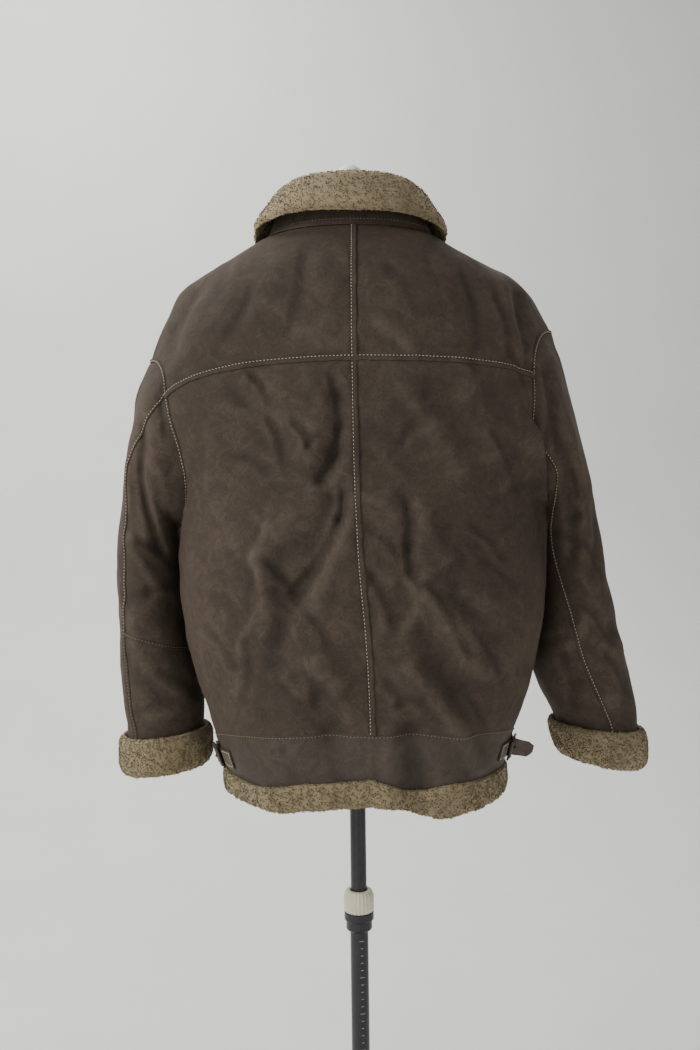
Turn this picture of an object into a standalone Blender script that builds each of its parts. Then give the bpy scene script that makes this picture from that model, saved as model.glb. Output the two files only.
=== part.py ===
"""Suede bomber jacket on a dress form stand, in metres, +Z up, with the garment's front towards -Y.

The origin is on the floor under the stand's tube. Left and right are the wearer's, so left is +X.
Every cloth piece is a wall made from a grid of points on the garment's surface. Neighbouring
pieces take the same points along a seam and each stops SEAM_INSET short of it.
"""

import math

import bmesh
import bpy
import numpy as np
from mathutils import Matrix, Vector
from mathutils.bvhtree import BVHTree

LEFT, RIGHT = 1, -1
BACK, FRONT = 1, -1
SIDE_NAMES = {LEFT: "left", RIGHT: "right"}

SUEDE_WALL = 0.002
SEAM_INSET = 0.0002
SLEEVE_INSET = 0.0003
TOUCH = 0.0004
HALF_ZIP = 0.0065

BAND_ROWS = 2
SIDE_ROWS = 10
ARM_ROWS = 6
YOKE_ROWS = 5
NECK_COLUMNS = 5
SHOULDER_COLUMNS = 7
SLEEVE_ROWS = 15

COLUMNS = NECK_COLUMNS + SHOULDER_COLUMNS
YOKE_ROW = BAND_ROWS + SIDE_ROWS + ARM_ROWS
ARMPIT_ROW = BAND_ROWS + SIDE_ROWS
TOP_ROW = YOKE_ROW + YOKE_ROWS
LOOP = 2 * (TOP_ROW - ARMPIT_ROW)


def table(columns, *rows):
    """The rows of a table as one array for each named column."""
    return dict(zip(columns.split(), np.array(rows, float).T))


# Heights of the seams at the centre and at the side seam
HEM_Z = 0.7745
BAND_Z, BAND_SIDE_Z = 0.840, 0.820
YOKE_Z = 1.312

# Half widths at the side seams and depths at the centre lines, by height
BODY = table(
    "z left right back front",
    (0.735, 0.168, 0.188, 0.150, 0.150),
    (0.775, 0.178, 0.200, 0.152, 0.151),
    (0.840, 0.200, 0.224, 0.156, 0.153),
    (0.900, 0.220, 0.243, 0.166, 0.157),
    (1.000, 0.239, 0.260, 0.170, 0.156),
    (1.110, 0.2335, 0.248, 0.164, 0.150),
    (1.200, 0.225, 0.240, 0.159, 0.144),
    (1.312, 0.246, 0.239, 0.150, 0.130),
)
BOXINESS = 0.82

# The centre back seam's drift across the back, by height
CENTRE_BACK = table(
    "z x",
    (0.750, -0.016),
    (0.847, -0.015),
    (0.946, -0.0115),
    (1.057, -0.003),
    (1.131, 0.0),
    (1.312, 0.002),
)

# Armholes: lowest and highest points, depths to back and front, and the yoke seam's end
ARMHOLE = {
    LEFT: {
        "low": (0.2345, 1.104), "yoke": (0.247, 1.277), "high": (0.281, 1.329), "back": 0.092,
        "front": 0.086,
    },
    RIGHT: {
        "low": (0.248, 1.117), "yoke": (0.239, 1.297), "high": (0.279, 1.362), "back": 0.090, "front": 0.084,
    },
}
ARMHOLE_WAIST = {LEFT: 0.221, RIGHT: 0.232}

# Shoulder ridge: straight over the form's shoulder, then dropping past its end
SHOULDER_SLOPE = 0.53
NECK_HALF_WIDTH = 0.118
NECK_BACK, NECK_FRONT = 0.078, 0.088
NECK_Z, NECK_FRONT_DROP = 1.495, 0.075
RIDGE = {
    LEFT: table(
        "x z", (0.214, 1.4441), (0.235, 1.430), (0.2475, 1.410), (0.256, 1.390), (0.268, 1.366),
        (0.281, 1.329),
    ),
    RIGHT: table(
        "x z", (0.214, 1.4441), (0.232, 1.4335), (0.2455, 1.422), (0.257, 1.403), (0.268, 1.383),
        (0.279, 1.362),
    ),
}

# Largest folds by their two ends in the view from behind or in front, their half width and their depth
FOLDS = {
    BACK: table(
        "x0 z0 x1 z1 width depth",
        (-0.080, 1.016, -0.152, 0.917, 0.017, 0.006),
        (-0.056, 1.007, -0.123, 0.896, 0.018, -0.006),
        (-0.066, 0.920, -0.121, 0.849, 0.017, 0.006),
        (-0.121, 0.849, -0.151, 0.788, 0.017, 0.006),
        (-0.068, 1.131, -0.070, 1.043, 0.016, -0.005),
        (-0.069, 1.258, -0.127, 1.168, 0.018, 0.004),
        (-0.146, 1.262, -0.178, 1.190, 0.018, 0.005),
        (-0.124, 1.010, -0.177, 0.958, 0.018, -0.005),
        (0.141, 1.270, 0.089, 1.209, 0.020, -0.006),
        (0.021, 1.256, 0.026, 1.190, 0.014, -0.006),
        (0.026, 1.190, 0.039, 1.165, 0.014, -0.006),
        (0.040, 1.245, 0.050, 1.185, 0.018, 0.005),
        (0.024, 1.131, 0.068, 1.023, 0.017, -0.007),
        (0.011, 1.106, 0.050, 1.007, 0.016, 0.005),
        (0.085, 1.106, 0.114, 1.057, 0.016, 0.005),
        (0.114, 1.057, 0.108, 0.976, 0.016, 0.006),
        (0.086, 1.007, 0.100, 0.933, 0.018, -0.006),
        (0.070, 0.896, 0.048, 0.927, 0.016, 0.006),
        (0.048, 0.927, 0.022, 0.908, 0.016, 0.006),
        (0.075, 0.897, 0.033, 0.847, 0.018, -0.006),
        (0.033, 0.847, 0.018, 0.775, 0.018, -0.005),
        (0.189, 1.005, 0.144, 0.896, 0.020, 0.005),
        (0.211, 1.412, 0.252, 1.321, 0.015, -0.007),
        (-0.200, 1.415, -0.212, 1.320, 0.018, 0.006),
        (-0.222, 1.400, -0.236, 1.310, 0.014, -0.010),
        (-0.066, 0.840, -0.080, 0.740, 0.018, -0.011),
        (-0.040, 0.820, -0.036, 0.740, 0.018, 0.007),
        (-0.125, 0.820, -0.112, 0.740, 0.026, 0.005),
        (0.110, 0.820, 0.105, 0.740, 0.024, 0.005),
    ),
    FRONT: table(
        "x0 z0 x1 z1 width depth",
        (0.090, 1.250, 0.130, 1.100, 0.022, 0.006),
        (0.050, 1.050, 0.100, 0.920, 0.022, -0.007),
        (0.150, 1.000, 0.110, 0.860, 0.022, 0.006),
        (0.060, 1.330, 0.110, 1.240, 0.020, -0.004),
        (-0.080, 1.220, -0.120, 1.080, 0.022, 0.006),
        (-0.055, 1.000, -0.110, 0.880, 0.022, -0.007),
        (-0.155, 1.050, -0.130, 0.900, 0.022, 0.006),
        (-0.070, 1.340, -0.120, 1.260, 0.020, -0.004),
    ),
}

# Lower edge of the suede band and of the pile below it, along the back from left to right
HEM_WAVE = table(
    "x top bottom",
    (-0.205, 0.7745, 0.7420),
    (-0.180, 0.7740, 0.7380),
    (-0.140, 0.7735, 0.7340),
    (-0.100, 0.7710, 0.7300),
    (-0.078, 0.7650, 0.7340),
    (-0.052, 0.7710, 0.7440),
    (-0.030, 0.7820, 0.7475),
    (0.020, 0.7785, 0.7445),
    (0.070, 0.7760, 0.7410),
    (0.100, 0.7720, 0.7375),
    (0.125, 0.7700, 0.7415),
    (0.190, 0.7745, 0.7440),
)
HEM_PILE_Z = 0.7430

# Sleeves: their outer and inner lines, and half depths, by share of the way to the cuff
SLEEVE = {
    LEFT: table(
        "share outer_x outer_z inner_x inner_z depth y",
        (0, 0.2810, 1.3290, 0.2350, 1.1040, 0.090, 0.000),
        (0.06, 0.2924, 1.3093, 0.2435, 1.0990, 0.091, -0.002),
        (0.12, 0.3023, 1.2848, 0.2440, 1.0930, 0.092, -0.006),
        (0.25, 0.3136, 1.2305, 0.2418, 1.0757, 0.090, -0.016),
        (0.4, 0.3225, 1.1509, 0.2410, 1.0451, 0.086, -0.024),
        (0.55, 0.3326, 1.0592, 0.2406, 1.0010, 0.081, -0.028),
        (0.7, 0.3310, 0.9827, 0.2345, 0.9449, 0.077, -0.028),
        (0.82, 0.3310, 0.9011, 0.2240, 0.8960, 0.073, -0.028),
        (0.8667, 0.3280, 0.8552, 0.2163, 0.8613, 0.070, -0.028),
        (0.9333, 0.3229, 0.8144, 0.2178, 0.8246, 0.065, -0.028),
        (1, 0.3229, 0.7715, 0.2178, 0.7817, 0.065, -0.028),
    ),
    RIGHT: table(
        "share outer_x outer_z inner_x inner_z depth y",
        (0, 0.2790, 1.3620, 0.2480, 1.1170, 0.088, 0.000),
        (0.06, 0.2844, 1.3413, 0.2570, 1.1120, 0.090, -0.002),
        (0.12, 0.2913, 1.3209, 0.2585, 1.1060, 0.091, -0.006),
        (0.25, 0.3065, 1.2618, 0.2600, 1.0899, 0.090, -0.016),
        (0.4, 0.3265, 1.1773, 0.2617, 1.0593, 0.086, -0.024),
        (0.55, 0.3453, 1.0806, 0.2622, 1.0102, 0.082, -0.028),
        (0.7, 0.3637, 0.9796, 0.2575, 0.9521, 0.079, -0.028),
        (0.82, 0.3815, 0.9011, 0.2495, 0.9011, 0.076, -0.028),
        (0.8667, 0.3927, 0.8531, 0.2632, 0.8633, 0.073, -0.028),
        (0.9333, 0.3948, 0.8144, 0.2800, 0.8286, 0.067, -0.028),
        (1, 0.3968, 0.7715, 0.2930, 0.7858, 0.066, -0.028),
    ),
}
# Sleeve seams: the loop points they start from and their angle round the sleeve, where 0 is outward
# and 90 is the back
SLEEVE_SEAMS = {
    LEFT: {
        "rear": 5,
        "front": 12,
        "angle": table(
            "share rear front", (0.0, 62, 205), (0.3, 50, 202), (0.55, 57, 203), (0.7, 46, 200),
            (1.0, 55, 203),
        ),
    },
    RIGHT: {
        "rear": 7,
        "front": 15,
        "angle": table(
            "share rear front", (0.0, 128, 245), (0.45, 136, 243), (0.7, 106, 238), (0.84, 90, 232),
            (1.0, 74, 222),
        ),
    },
}
ELBOW_SEAM_ROW = 11
SLEEVE_GIRTH = 0.44
SLEEVE_LENGTH = 0.54
SLEEVE_FOLDS = {
    LEFT: table(
        "angle0 share0 angle1 share1 width depth",
        (70, 0.16, 118, 0.40, 0.018, -0.010),
        (52, 0.30, 70, 0.44, 0.015, 0.004),
        (60, 0.47, 110, 0.52, 0.016, 0.005),
        (100, 0.58, 60, 0.64, 0.016, -0.005),
        (60, 0.80, 110, 0.86, 0.016, -0.004),
        (300, 0.40, 260, 0.55, 0.020, -0.006),
        (270, 0.60, 320, 0.68, 0.020, 0.005),
        (310, 0.25, 280, 0.32, 0.020, 0.005),
    ),
    RIGHT: table(
        "angle0 share0 angle1 share1 width depth",
        (62, 0.18, 75, 0.45, 0.016, 0.006),
        (92, 0.14, 100, 0.50, 0.018, -0.008),
        (48, 0.50, 80, 0.66, 0.016, -0.005),
        (70, 0.62, 112, 0.75, 0.016, 0.005),
        (40, 0.78, 70, 0.86, 0.016, 0.004),
        (280, 0.35, 300, 0.55, 0.020, -0.006),
        (250, 0.60, 300, 0.70, 0.020, 0.005),
        (320, 0.22, 290, 0.30, 0.020, 0.005),
    ),
}

CUFF_PILE = 0.013
CUFF_HEIGHT = 0.052
CUFF_BELOW_SLEEVE = 0.014

# Collar by angle round the neck from the centre back: how far its fold leans out from the neck
# seam, the fold's height, and the reach and height of the fall's under edge
COLLAR = table(
    "angle lean height reach edge",
    (0, -0.006, 0.073, 0.016, 0.0155),
    (35, -0.010, 0.071, 0.018, 0.0145),
    (60, -0.015, 0.064, 0.017, 0.0085),
    (90, -0.019, 0.054, 0.012, -0.002),
    (115, -0.017, 0.052, 0.020, -0.012),
    (145, -0.013, 0.048, 0.026, -0.026),
    (175, -0.012, 0.045, 0.024, -0.034),
)
COLLAR_PILE = 0.010
COLLAR_FOOT = 0.0065
COLLAR_GAP = 0.0014
COLLAR_CLEAR = 0.003
COLLAR_TILT = 0.003
STAND_WALL = 0.002

# Form by height: half width and half depth. Its shoulder runs parallel under the jacket's.
FORM_GAP = 0.0028
FORM = table(
    "z width depth",
    (0.840, 0.146, 0.100),
    (0.850, 0.151, 0.105),
    (0.910, 0.152, 0.107),
    (1.000, 0.140, 0.100),
    (1.080, 0.134, 0.097),
    (1.180, 0.148, 0.106),
    (1.280, 0.170, 0.113),
    (1.350, 0.190, 0.104),
    (1.395, 0.200, 0.086),
    (1.425, 0.203, 0.060),
)
# Rows of the form's shoulder: half width, half depth, and how far below the straight line
FORM_SHOULDER = table(
    "width depth below",
    (0.1960, 0.044, 0.007),
    (0.1800, 0.038, 0.001),
    (0.1600, 0.034, 0.0),
    (0.1340, 0.034, 0.0),
)
FORM_NECK = table(
    "z width depth",
    (1.4935, 0.104, 0.040),
    (1.5020, 0.080, 0.044),
    (1.5150, 0.062, 0.050),
    (1.5300, 0.056, 0.054),
    (1.5450, 0.055, 0.055),
)
FORM_SIDES = 32
NECK_CAP_BASE = 1.5453
STAND_SIDES = 24
UPPER_TUBE_RADIUS = 0.011
LOWER_TUBE_RADIUS, LOWER_TUBE_BORE = 0.0125, 0.0114
UPPER_TUBE_FOOT, LOWER_TUBE_TOP, LOWER_TUBE_FOOT = 0.250, 0.561, 0.0123
RING_LOW, RING_HIGH = 0.5634, 0.5934
FERRULE_LOW = 0.537
BASE_RADIUS = 0.170

# Side adjusters: centre height on the band, and sizes of strap and buckle
ADJUSTER_Z = {LEFT: 0.795, RIGHT: 0.800}
ADJUSTER_SHIFT = 0.045
STRAP_HALF_WIDTH = 0.0115
STRAP_WALL = 0.0018
BAR = 0.003
BUCKLE_HALF_LENGTH, BUCKLE_HALF_HEIGHT = 0.009, 0.015

# The zip slider stands in the middle of this row of the fronts
SLIDER_ROW = YOKE_ROW + 1
# Slider's sections round the hole of its bridge: outer and inner point as distance down the zip and
# lift, and half width
SLIDER_RING = [
    ((-0.0075, 0.0003), (-0.0035, 0.0034), 0.0045),
    ((0.0065, 0.0003), (0.0015, 0.0034), 0.0036),
    ((0.0068, 0.0035), (0.0016, 0.0042), 0.0014),
    ((0.0035, 0.0085), (0.0015, 0.0066), 0.0014),
    ((-0.0055, 0.0085), (-0.0035, 0.0066), 0.0014),
    ((-0.0078, 0.0035), (-0.0036, 0.0042), 0.0014),
]

MATERIALS = {
    "suede": ((0.066, 0.041, 0.030), 0.92, 0.0),
    "band_suede": ((0.072, 0.048, 0.038), 0.82, 0.0),
    "pile": ((0.27, 0.21, 0.125), 0.95, 0.0),
    "stand_leather": ((0.075, 0.050, 0.038), 0.85, 0.0),
    "strap_leather": ((0.10, 0.055, 0.038), 0.6, 0.0),
    "buckle_metal": ((0.05, 0.045, 0.04), 0.4, 1.0),
    "zip_tape": ((0.035, 0.025, 0.020), 0.85, 0.0),
    "zip_metal": ((0.20, 0.16, 0.10), 0.35, 1.0),
    "form_cloth": ((0.55, 0.52, 0.44), 0.9, 0.0),
    "cap_paint": ((0.80, 0.76, 0.66), 0.5, 0.0),
    "tube_paint": ((0.025, 0.022, 0.024), 0.4, 0.0),
    "ring_plastic": ((0.58, 0.53, 0.38), 0.5, 0.0),
    "base_paint": ((0.025, 0.022, 0.024), 0.45, 0.0),
}


def read(rows, key, name, at):
    """The value of a table's column, smoothly between its rows."""
    x, y = rows[key], rows[name]
    slope = np.gradient(y, x)
    i = np.clip(np.searchsorted(x, at) - 1, 0, len(x) - 2)
    span = x[i + 1] - x[i]
    u = np.clip((at - x[i]) / span, 0.0, 1.0)
    rise = (2 * u**3 - 3 * u**2 + 1) * y[i] + (3 * u**2 - 2 * u**3) * y[i + 1]
    return rise + (u**3 - 2 * u**2 + u) * span * slope[i] + (u**3 - u**2) * span * slope[i + 1]


def ease(value):
    """0 below 0, 1 above 1, and smooth between."""
    u = np.clip(value, 0.0, 1.0)
    return u * u * (3 - 2 * u)


def even(points, count):
    """The same line with its points at equal distances."""
    steps = np.linalg.norm(np.diff(points, axis=0), axis=1)
    along = np.concatenate([[0.0], np.cumsum(steps)])
    at = np.linspace(0.0, along[-1], count + 1)
    return np.stack([np.interp(at, along, points[:, k]) for k in range(3)], axis=1)


def unit(vectors):
    """The vectors at length 1."""
    return vectors / np.maximum(np.linalg.norm(vectors, axis=-1, keepdims=True), 1e-12)


def fold_depth(folds, across, along, first, second):
    """How far the folds move the points, from each fold's distance and its ends' fading."""
    total = np.zeros(across.shape)
    for i in range(len(folds["width"])):
        x0, x1 = folds[first + "0"][i], folds[first + "1"][i]
        z0, z1 = folds[second + "0"][i], folds[second + "1"][i]
        run = np.hypot(x1 - x0, z1 - z0)
        t = ((across - x0) * (x1 - x0) + (along - z0) * (z1 - z0)) / run**2
        off = np.hypot(across - x0 - np.clip(t, 0, 1) * (x1 - x0), along - z0 - np.clip(t, 0, 1) * (z1 - z0))
        total += folds["depth"][i] * np.exp(-((off / folds["width"][i]) ** 2))
    return total


def normals(grid, sign):
    """Normals of a grid's points from its faces, each counted by its area."""
    total = np.zeros(grid.shape)
    a, b = grid[:-1, :-1], grid[:-1, 1:]
    c, d = grid[1:, 1:], grid[1:, :-1]
    faces = np.cross(c - a, d - b) * sign
    total[:-1, :-1] += faces
    total[:-1, 1:] += faces
    total[1:, 1:] += faces
    total[1:, :-1] += faces
    return total


def neck_point(angle):
    """A point on the neck seam, at an angle in degrees from the centre back towards the left."""
    turn = math.radians(angle)
    reach = NECK_BACK if math.cos(turn) > 0 else NECK_FRONT
    drop = NECK_FRONT_DROP * max(0.0, -math.cos(turn)) ** 2
    return np.array([NECK_HALF_WIDTH * math.sin(turn), reach * math.cos(turn), NECK_Z - drop])


def row_ends(side, half, row):
    """The centre and edge points of a row of the body, below or on the yoke seam."""
    if row <= BAND_ROWS:
        share = row / BAND_ROWS
        middle_z = HEM_Z + (BAND_Z - HEM_Z) * share
        edge_z = HEM_Z + (BAND_SIDE_Z - HEM_Z) * share
    else:
        share = (row - BAND_ROWS) / (YOKE_ROW - BAND_ROWS)
        middle_z = BAND_Z + (YOKE_Z - BAND_Z) * share
        edge_z = BAND_SIDE_Z + (ARMHOLE[side]["low"][1] - BAND_SIDE_Z) * (row - BAND_ROWS) / SIDE_ROWS
    depth = read(BODY, "z", "back" if half == BACK else "front", middle_z)
    middle_x = read(CENTRE_BACK, "z", "x", middle_z) if half == BACK else HALF_ZIP * side
    middle = np.array([middle_x, half * depth, middle_z])
    if row <= ARMPIT_ROW:
        return middle, np.array([side * read(BODY, "z", SIDE_NAMES[side], edge_z), 0.0, edge_z]), 90.0
    hole = ARMHOLE[side]
    up = (row - ARMPIT_ROW) / ARM_ROWS
    centre_z = (hole["low"][1] + hole["high"][1]) / 2
    reach = (hole["high"][1] - hole["low"][1]) / 2
    last = math.asin((hole["yoke"][1] - centre_z) / reach)
    turn = -math.pi / 2 + (last + math.pi / 2) * up
    sag = math.sin(math.pi * up) ** 1.8 * ((hole["low"][0] + hole["yoke"][0]) / 2 - ARMHOLE_WAIST[side])
    x = hole["low"][0] + (hole["yoke"][0] - hole["low"][0]) * up - sag
    edge = np.array(
        [
            side * x, half * hole["back" if half == BACK else "front"] * math.cos(turn),
            centre_z + reach * math.sin(turn),
        ]
    )
    return middle, edge, 90.0 - 28.0 * up


def section(side, half, row):
    """A row of the body from its centre line to its edge."""
    middle, edge, turn = row_ends(side, half, row)
    a = np.radians(np.linspace(0.0, turn, 60))
    across = (np.sin(a) / math.sin(a[-1])) ** BOXINESS
    low = max(math.cos(a[-1]), 0.0) ** BOXINESS
    inward = (np.maximum(np.cos(a), 0.0) ** BOXINESS - low) / (1.0 - low)
    line = np.stack(
        [
            middle[0] + (edge[0] - middle[0]) * across,
            edge[1] + (middle[1] - edge[1]) * inward,
            middle[2] + (edge[2] - middle[2]) * np.linspace(0.0, 1.0, 60) ** 2,
        ],
        axis=1,
    )
    return even(line, COLUMNS)


def top_line(side, half):
    """The top of a half panel: the neck seam, then the shoulder seam."""
    start = 0.0 if half == BACK else 180.0 - math.degrees(math.asin(HALF_ZIP / NECK_HALF_WIDTH))
    neck = np.array([neck_point(side * a) for a in np.linspace(start, 90.0, 40)])
    neck = even(neck, NECK_COLUMNS)
    x = np.concatenate([[NECK_HALF_WIDTH], np.linspace(0.214, RIDGE[side]["x"][-1], 30)])
    z = np.concatenate([[NECK_Z], read(RIDGE[side], "x", "z", x[1:])])
    shoulder = even(np.stack([side * x, 0 * x, z], axis=1), SHOULDER_COLUMNS)
    return np.concatenate([neck[:-1], shoulder])


def quadrant(side, half):
    """A quarter of the jacket's body as rows from the band to the shoulder, each from centre to edge."""
    grid = np.zeros((TOP_ROW + 1, COLUMNS + 1, 3))
    for row in range(YOKE_ROW + 1):
        grid[row] = section(side, half, row)
    low, high = grid[YOKE_ROW].copy(), top_line(side, half)
    across = np.linspace(0.0, 1.0, COLUMNS + 1)
    last = np.radians(52.0 + 38.0 * ease(across * COLUMNS / NECK_COLUMNS))
    for k in range(1, YOKE_ROWS + 1):
        a = last * k / YOKE_ROWS
        level = ((1 - np.cos(a)) / (1 - np.cos(last)))[:, None]
        rise = (np.sin(a) / np.sin(last))[:, None]
        weight = np.concatenate([level, level, rise], axis=1)
        grid[YOKE_ROW + k] = low + (high - low) * weight
    if half == BACK:
        lift = read(HEM_WAVE, "x", "top", grid[0, :, 0]) - HEM_Z
        for row in range(BAND_ROWS):
            grid[row, :, 2] += lift * (1 - row / BAND_ROWS)
    return grid


def fold_window(half):
    """Where the body's folds act: none at side seams, armholes, shoulders and the zip."""
    across = np.linspace(0.0, 1.0, COLUMNS + 1)[None, :]
    up = np.arange(TOP_ROW + 1)[:, None]
    window = ease((1 - across) / 0.14) * ease((TOP_ROW - up) / 2.2)
    if half == FRONT:
        window = window * ease(across / 0.1)
    return window


def seam_angles(side):
    """The angle round the sleeve of every loop point, for each row."""
    seams = SLEEVE_SEAMS[side]
    angles = []
    for row in range(SLEEVE_ROWS + 1):
        share = min(row, SLEEVE_ROWS - 1) / SLEEVE_ROWS
        rear = read(seams["angle"], "share", "rear", share)
        front = read(seams["angle"], "share", "front", share)
        knots = [seams["front"] - LOOP, seams["rear"], seams["front"], seams["rear"] + LOOP]
        turns = [front - 360, rear, front, rear + 360]
        angles.append(np.interp(np.arange(LOOP), knots, turns))
    return np.radians(np.array(angles))


def sleeve_ring(side, share, angles):
    """A ring of the sleeve between its outer and inner lines."""
    rows = SLEEVE[side]
    ox, oz = read(rows, "share", "outer_x", share), read(rows, "share", "outer_z", share)
    ix, iz = read(rows, "share", "inner_x", share), read(rows, "share", "inner_z", share)
    depth = read(rows, "share", "depth", share)
    middle = np.array([side * (ox + ix) / 2, read(rows, "share", "y", share), (oz + iz) / 2])
    out = np.array([side * (ox - ix) / 2, 0.0, (oz - iz) / 2])
    return middle + np.cos(angles)[:, None] * out + np.sin(angles)[:, None] * np.array([0.0, depth, 0.0])


def sleeve_grid(side, back, front):
    """The sleeve as rings from the armhole's own points to the cuff."""
    up, down = back[ARMPIT_ROW : TOP_ROW + 1, -1], front[ARMPIT_ROW : TOP_ROW + 1, -1]
    loop = np.concatenate([up[::-1], down[1:-1]])
    rows = SLEEVE[side]
    half = np.array(
        [side * (rows["outer_x"][0] - rows["inner_x"][0]) / 2, (rows["outer_z"][0] - rows["inner_z"][0]) / 2]
    )
    middle = np.array(
        [side * (rows["outer_x"][0] + rows["inner_x"][0]) / 2, (rows["outer_z"][0] + rows["inner_z"][0]) / 2]
    )
    along = ((loop[:, [0, 2]] - middle) @ half) / (half @ half)
    start = np.arctan2(loop[:, 1] / rows["depth"][0], along)
    start = np.where(np.arange(LOOP) > LOOP // 2, start + 2 * np.pi, start)
    start[LOOP // 2] = np.pi
    wanted = seam_angles(side)
    grid = np.zeros((SLEEVE_ROWS + 1, LOOP + 1, 3))
    apart = loop - sleeve_ring(side, 0.0, start)
    for row in range(SLEEVE_ROWS + 1):
        share = row / SLEEVE_ROWS
        settle = ease(share / 0.35)
        angles = start * (1 - settle) + wanted[row] * settle
        settled = ease(share / (0.23 + 0.17 * np.cos(angles)))[:, None]
        grid[row, :-1] = sleeve_ring(side, share, angles) + apart * (1 - settled)
        window = ease(share / 0.12) * ease((0.93 - share) / 0.08)
        arc = (angles % (2 * np.pi)) / (2 * np.pi) * SLEEVE_GIRTH
        folds = dict(SLEEVE_FOLDS[side])
        for end in "01":
            folds["arc" + end] = folds["angle" + end] / 360 * SLEEVE_GIRTH
            folds["way" + end] = folds["share" + end] * SLEEVE_LENGTH
        depth = fold_depth(folds, arc, np.full(LOOP, share * SLEEVE_LENGTH), "arc", "way") * window
        centre = grid[row, :-1].mean(axis=0)
        grid[row, :-1] += unit(grid[row, :-1] - centre) * depth[:, None]
    grid[:, -1] = grid[:, 0]
    return grid


def shared_normals(grids):
    """Unit normals of all the grids, where points that grids share take one normal."""
    sums = {}
    keys = {}
    raw = {}
    for name, (grid, sign) in grids.items():
        raw[name] = normals(grid, sign)
        keys[name] = np.round(grid * 1e6).astype(np.int64)
        for key, value in zip(keys[name].reshape(-1, 3), raw[name].reshape(-1, 3)):
            sums[tuple(key)] = sums.get(tuple(key), 0) + value
    result = {}
    for name in grids:
        flat = np.array([sums[tuple(key)] for key in keys[name].reshape(-1, 3)])
        result[name] = unit(flat).reshape(raw[name].shape)
    return result


def seam_normals(grids):
    """Unit normals of the body and of each sleeve, made one along an armhole where it is a ridge."""
    outward = shared_normals({key: grids[key] for key in grids if key[1] != "sleeve"})
    for side in (LEFT, RIGHT):
        sleeve_key = (side, "sleeve")
        outward.update(shared_normals({sleeve_key: grids[sleeve_key]}))
        sleeve = grids[sleeve_key][0]
        for i in range(LOOP):
            row = TOP_ROW - i if i <= LOOP // 2 else ARMPIT_ROW + i - LOOP // 2
            halves = [BACK if i <= LOOP // 2 else FRONT]
            if row in (ARMPIT_ROW, TOP_ROW):
                halves = [BACK, FRONT]
            body_out = outward[(side, halves[0])][row, -1]
            if np.dot(sleeve[1, i] - sleeve[0, i], body_out) < 0:
                shared = unit(body_out + outward[sleeve_key][0, i])
                outward[sleeve_key][0, i] = shared
                for half in halves:
                    outward[(side, half)][row, -1] = shared
        outward[sleeve_key][0, -1] = outward[sleeve_key][0, 0]
    return outward


def inset(grid, distance):
    """The grid with its four edges moved inwards along its rows and columns."""
    moved = grid.copy()
    moved[0] += unit(grid[1] - grid[0]) * distance
    moved[-1] += unit(grid[-2] - grid[-1]) * distance
    moved[:, 0] += unit(grid[:, 1] - grid[:, 0]) * distance
    moved[:, -1] += unit(grid[:, -2] - grid[:, -1]) * distance
    return moved


def finish(name, mesh_data, material, smooth=True):
    """An object of the mesh, with its faces outward and its own material."""
    bmesh.ops.recalc_face_normals(mesh_data, faces=mesh_data.faces)
    mesh = bpy.data.meshes.new(name)
    mesh_data.to_mesh(mesh)
    mesh_data.free()
    if smooth:
        mesh.shade_smooth()
        mesh.set_sharp_from_angle(angle=math.radians(50))
    colour, roughness, metallic = MATERIALS[material]
    finish_material = bpy.data.materials.new(f"{name}_{material}")
    finish_material.use_nodes = True
    shader = finish_material.node_tree.nodes["Principled BSDF"]
    shader.inputs["Base Color"].default_value = (*colour, 1.0)
    shader.inputs["Roughness"].default_value = roughness
    shader.inputs["Metallic"].default_value = metallic
    mesh.materials.append(finish_material)
    obj = bpy.data.objects.new(name, mesh)
    bpy.context.scene.collection.objects.link(obj)
    return obj


def wall(name, grid, outward, thickness, material, gap=SEAM_INSET):
    """A cloth piece: a grid's faces, extruded inwards to the wall's thickness."""
    outer = inset(grid, gap)
    inner = outer - outward * thickness
    rows, columns = grid.shape[0], grid.shape[1]
    data = bmesh.new()
    bmesh.ops.create_grid(data, x_segments=columns - 1, y_segments=rows - 1, size=1.0)
    data.verts.ensure_lookup_table()
    through = data.verts.layers.float_vector.new("through")
    for i, vert in enumerate(data.verts):
        vert.co = outer[i // columns, i % columns]
        vert[through] = inner[i // columns, i % columns]
    made = bmesh.ops.extrude_face_region(data, geom=data.faces[:], use_keep_orig=True)
    for item in made["geom"]:
        if isinstance(item, bmesh.types.BMVert):
            item.co = item[through]
    return finish(name, data, material)


def loft(name, sections, material, closed=False, smooth=True):
    """A solid through closed sections of equal counts, capped at its ends or joined into a ring."""
    data = bmesh.new()
    loops = [[data.verts.new(point) for point in points] for points in sections]
    pairs = list(zip(loops, loops[1:] + loops[:1])) if closed else list(zip(loops, loops[1:]))
    for one, other in pairs:
        for k in range(len(one)):
            j = (k + 1) % len(one)
            data.faces.new((one[k], one[j], other[j], other[k]))
    if not closed:
        data.faces.new(loops[0])
        data.faces.new(loops[-1])
    bmesh.ops.triangulate(data, faces=[face for face in data.faces if len(face.verts) > 4])
    return finish(name, data, material, smooth)


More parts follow.
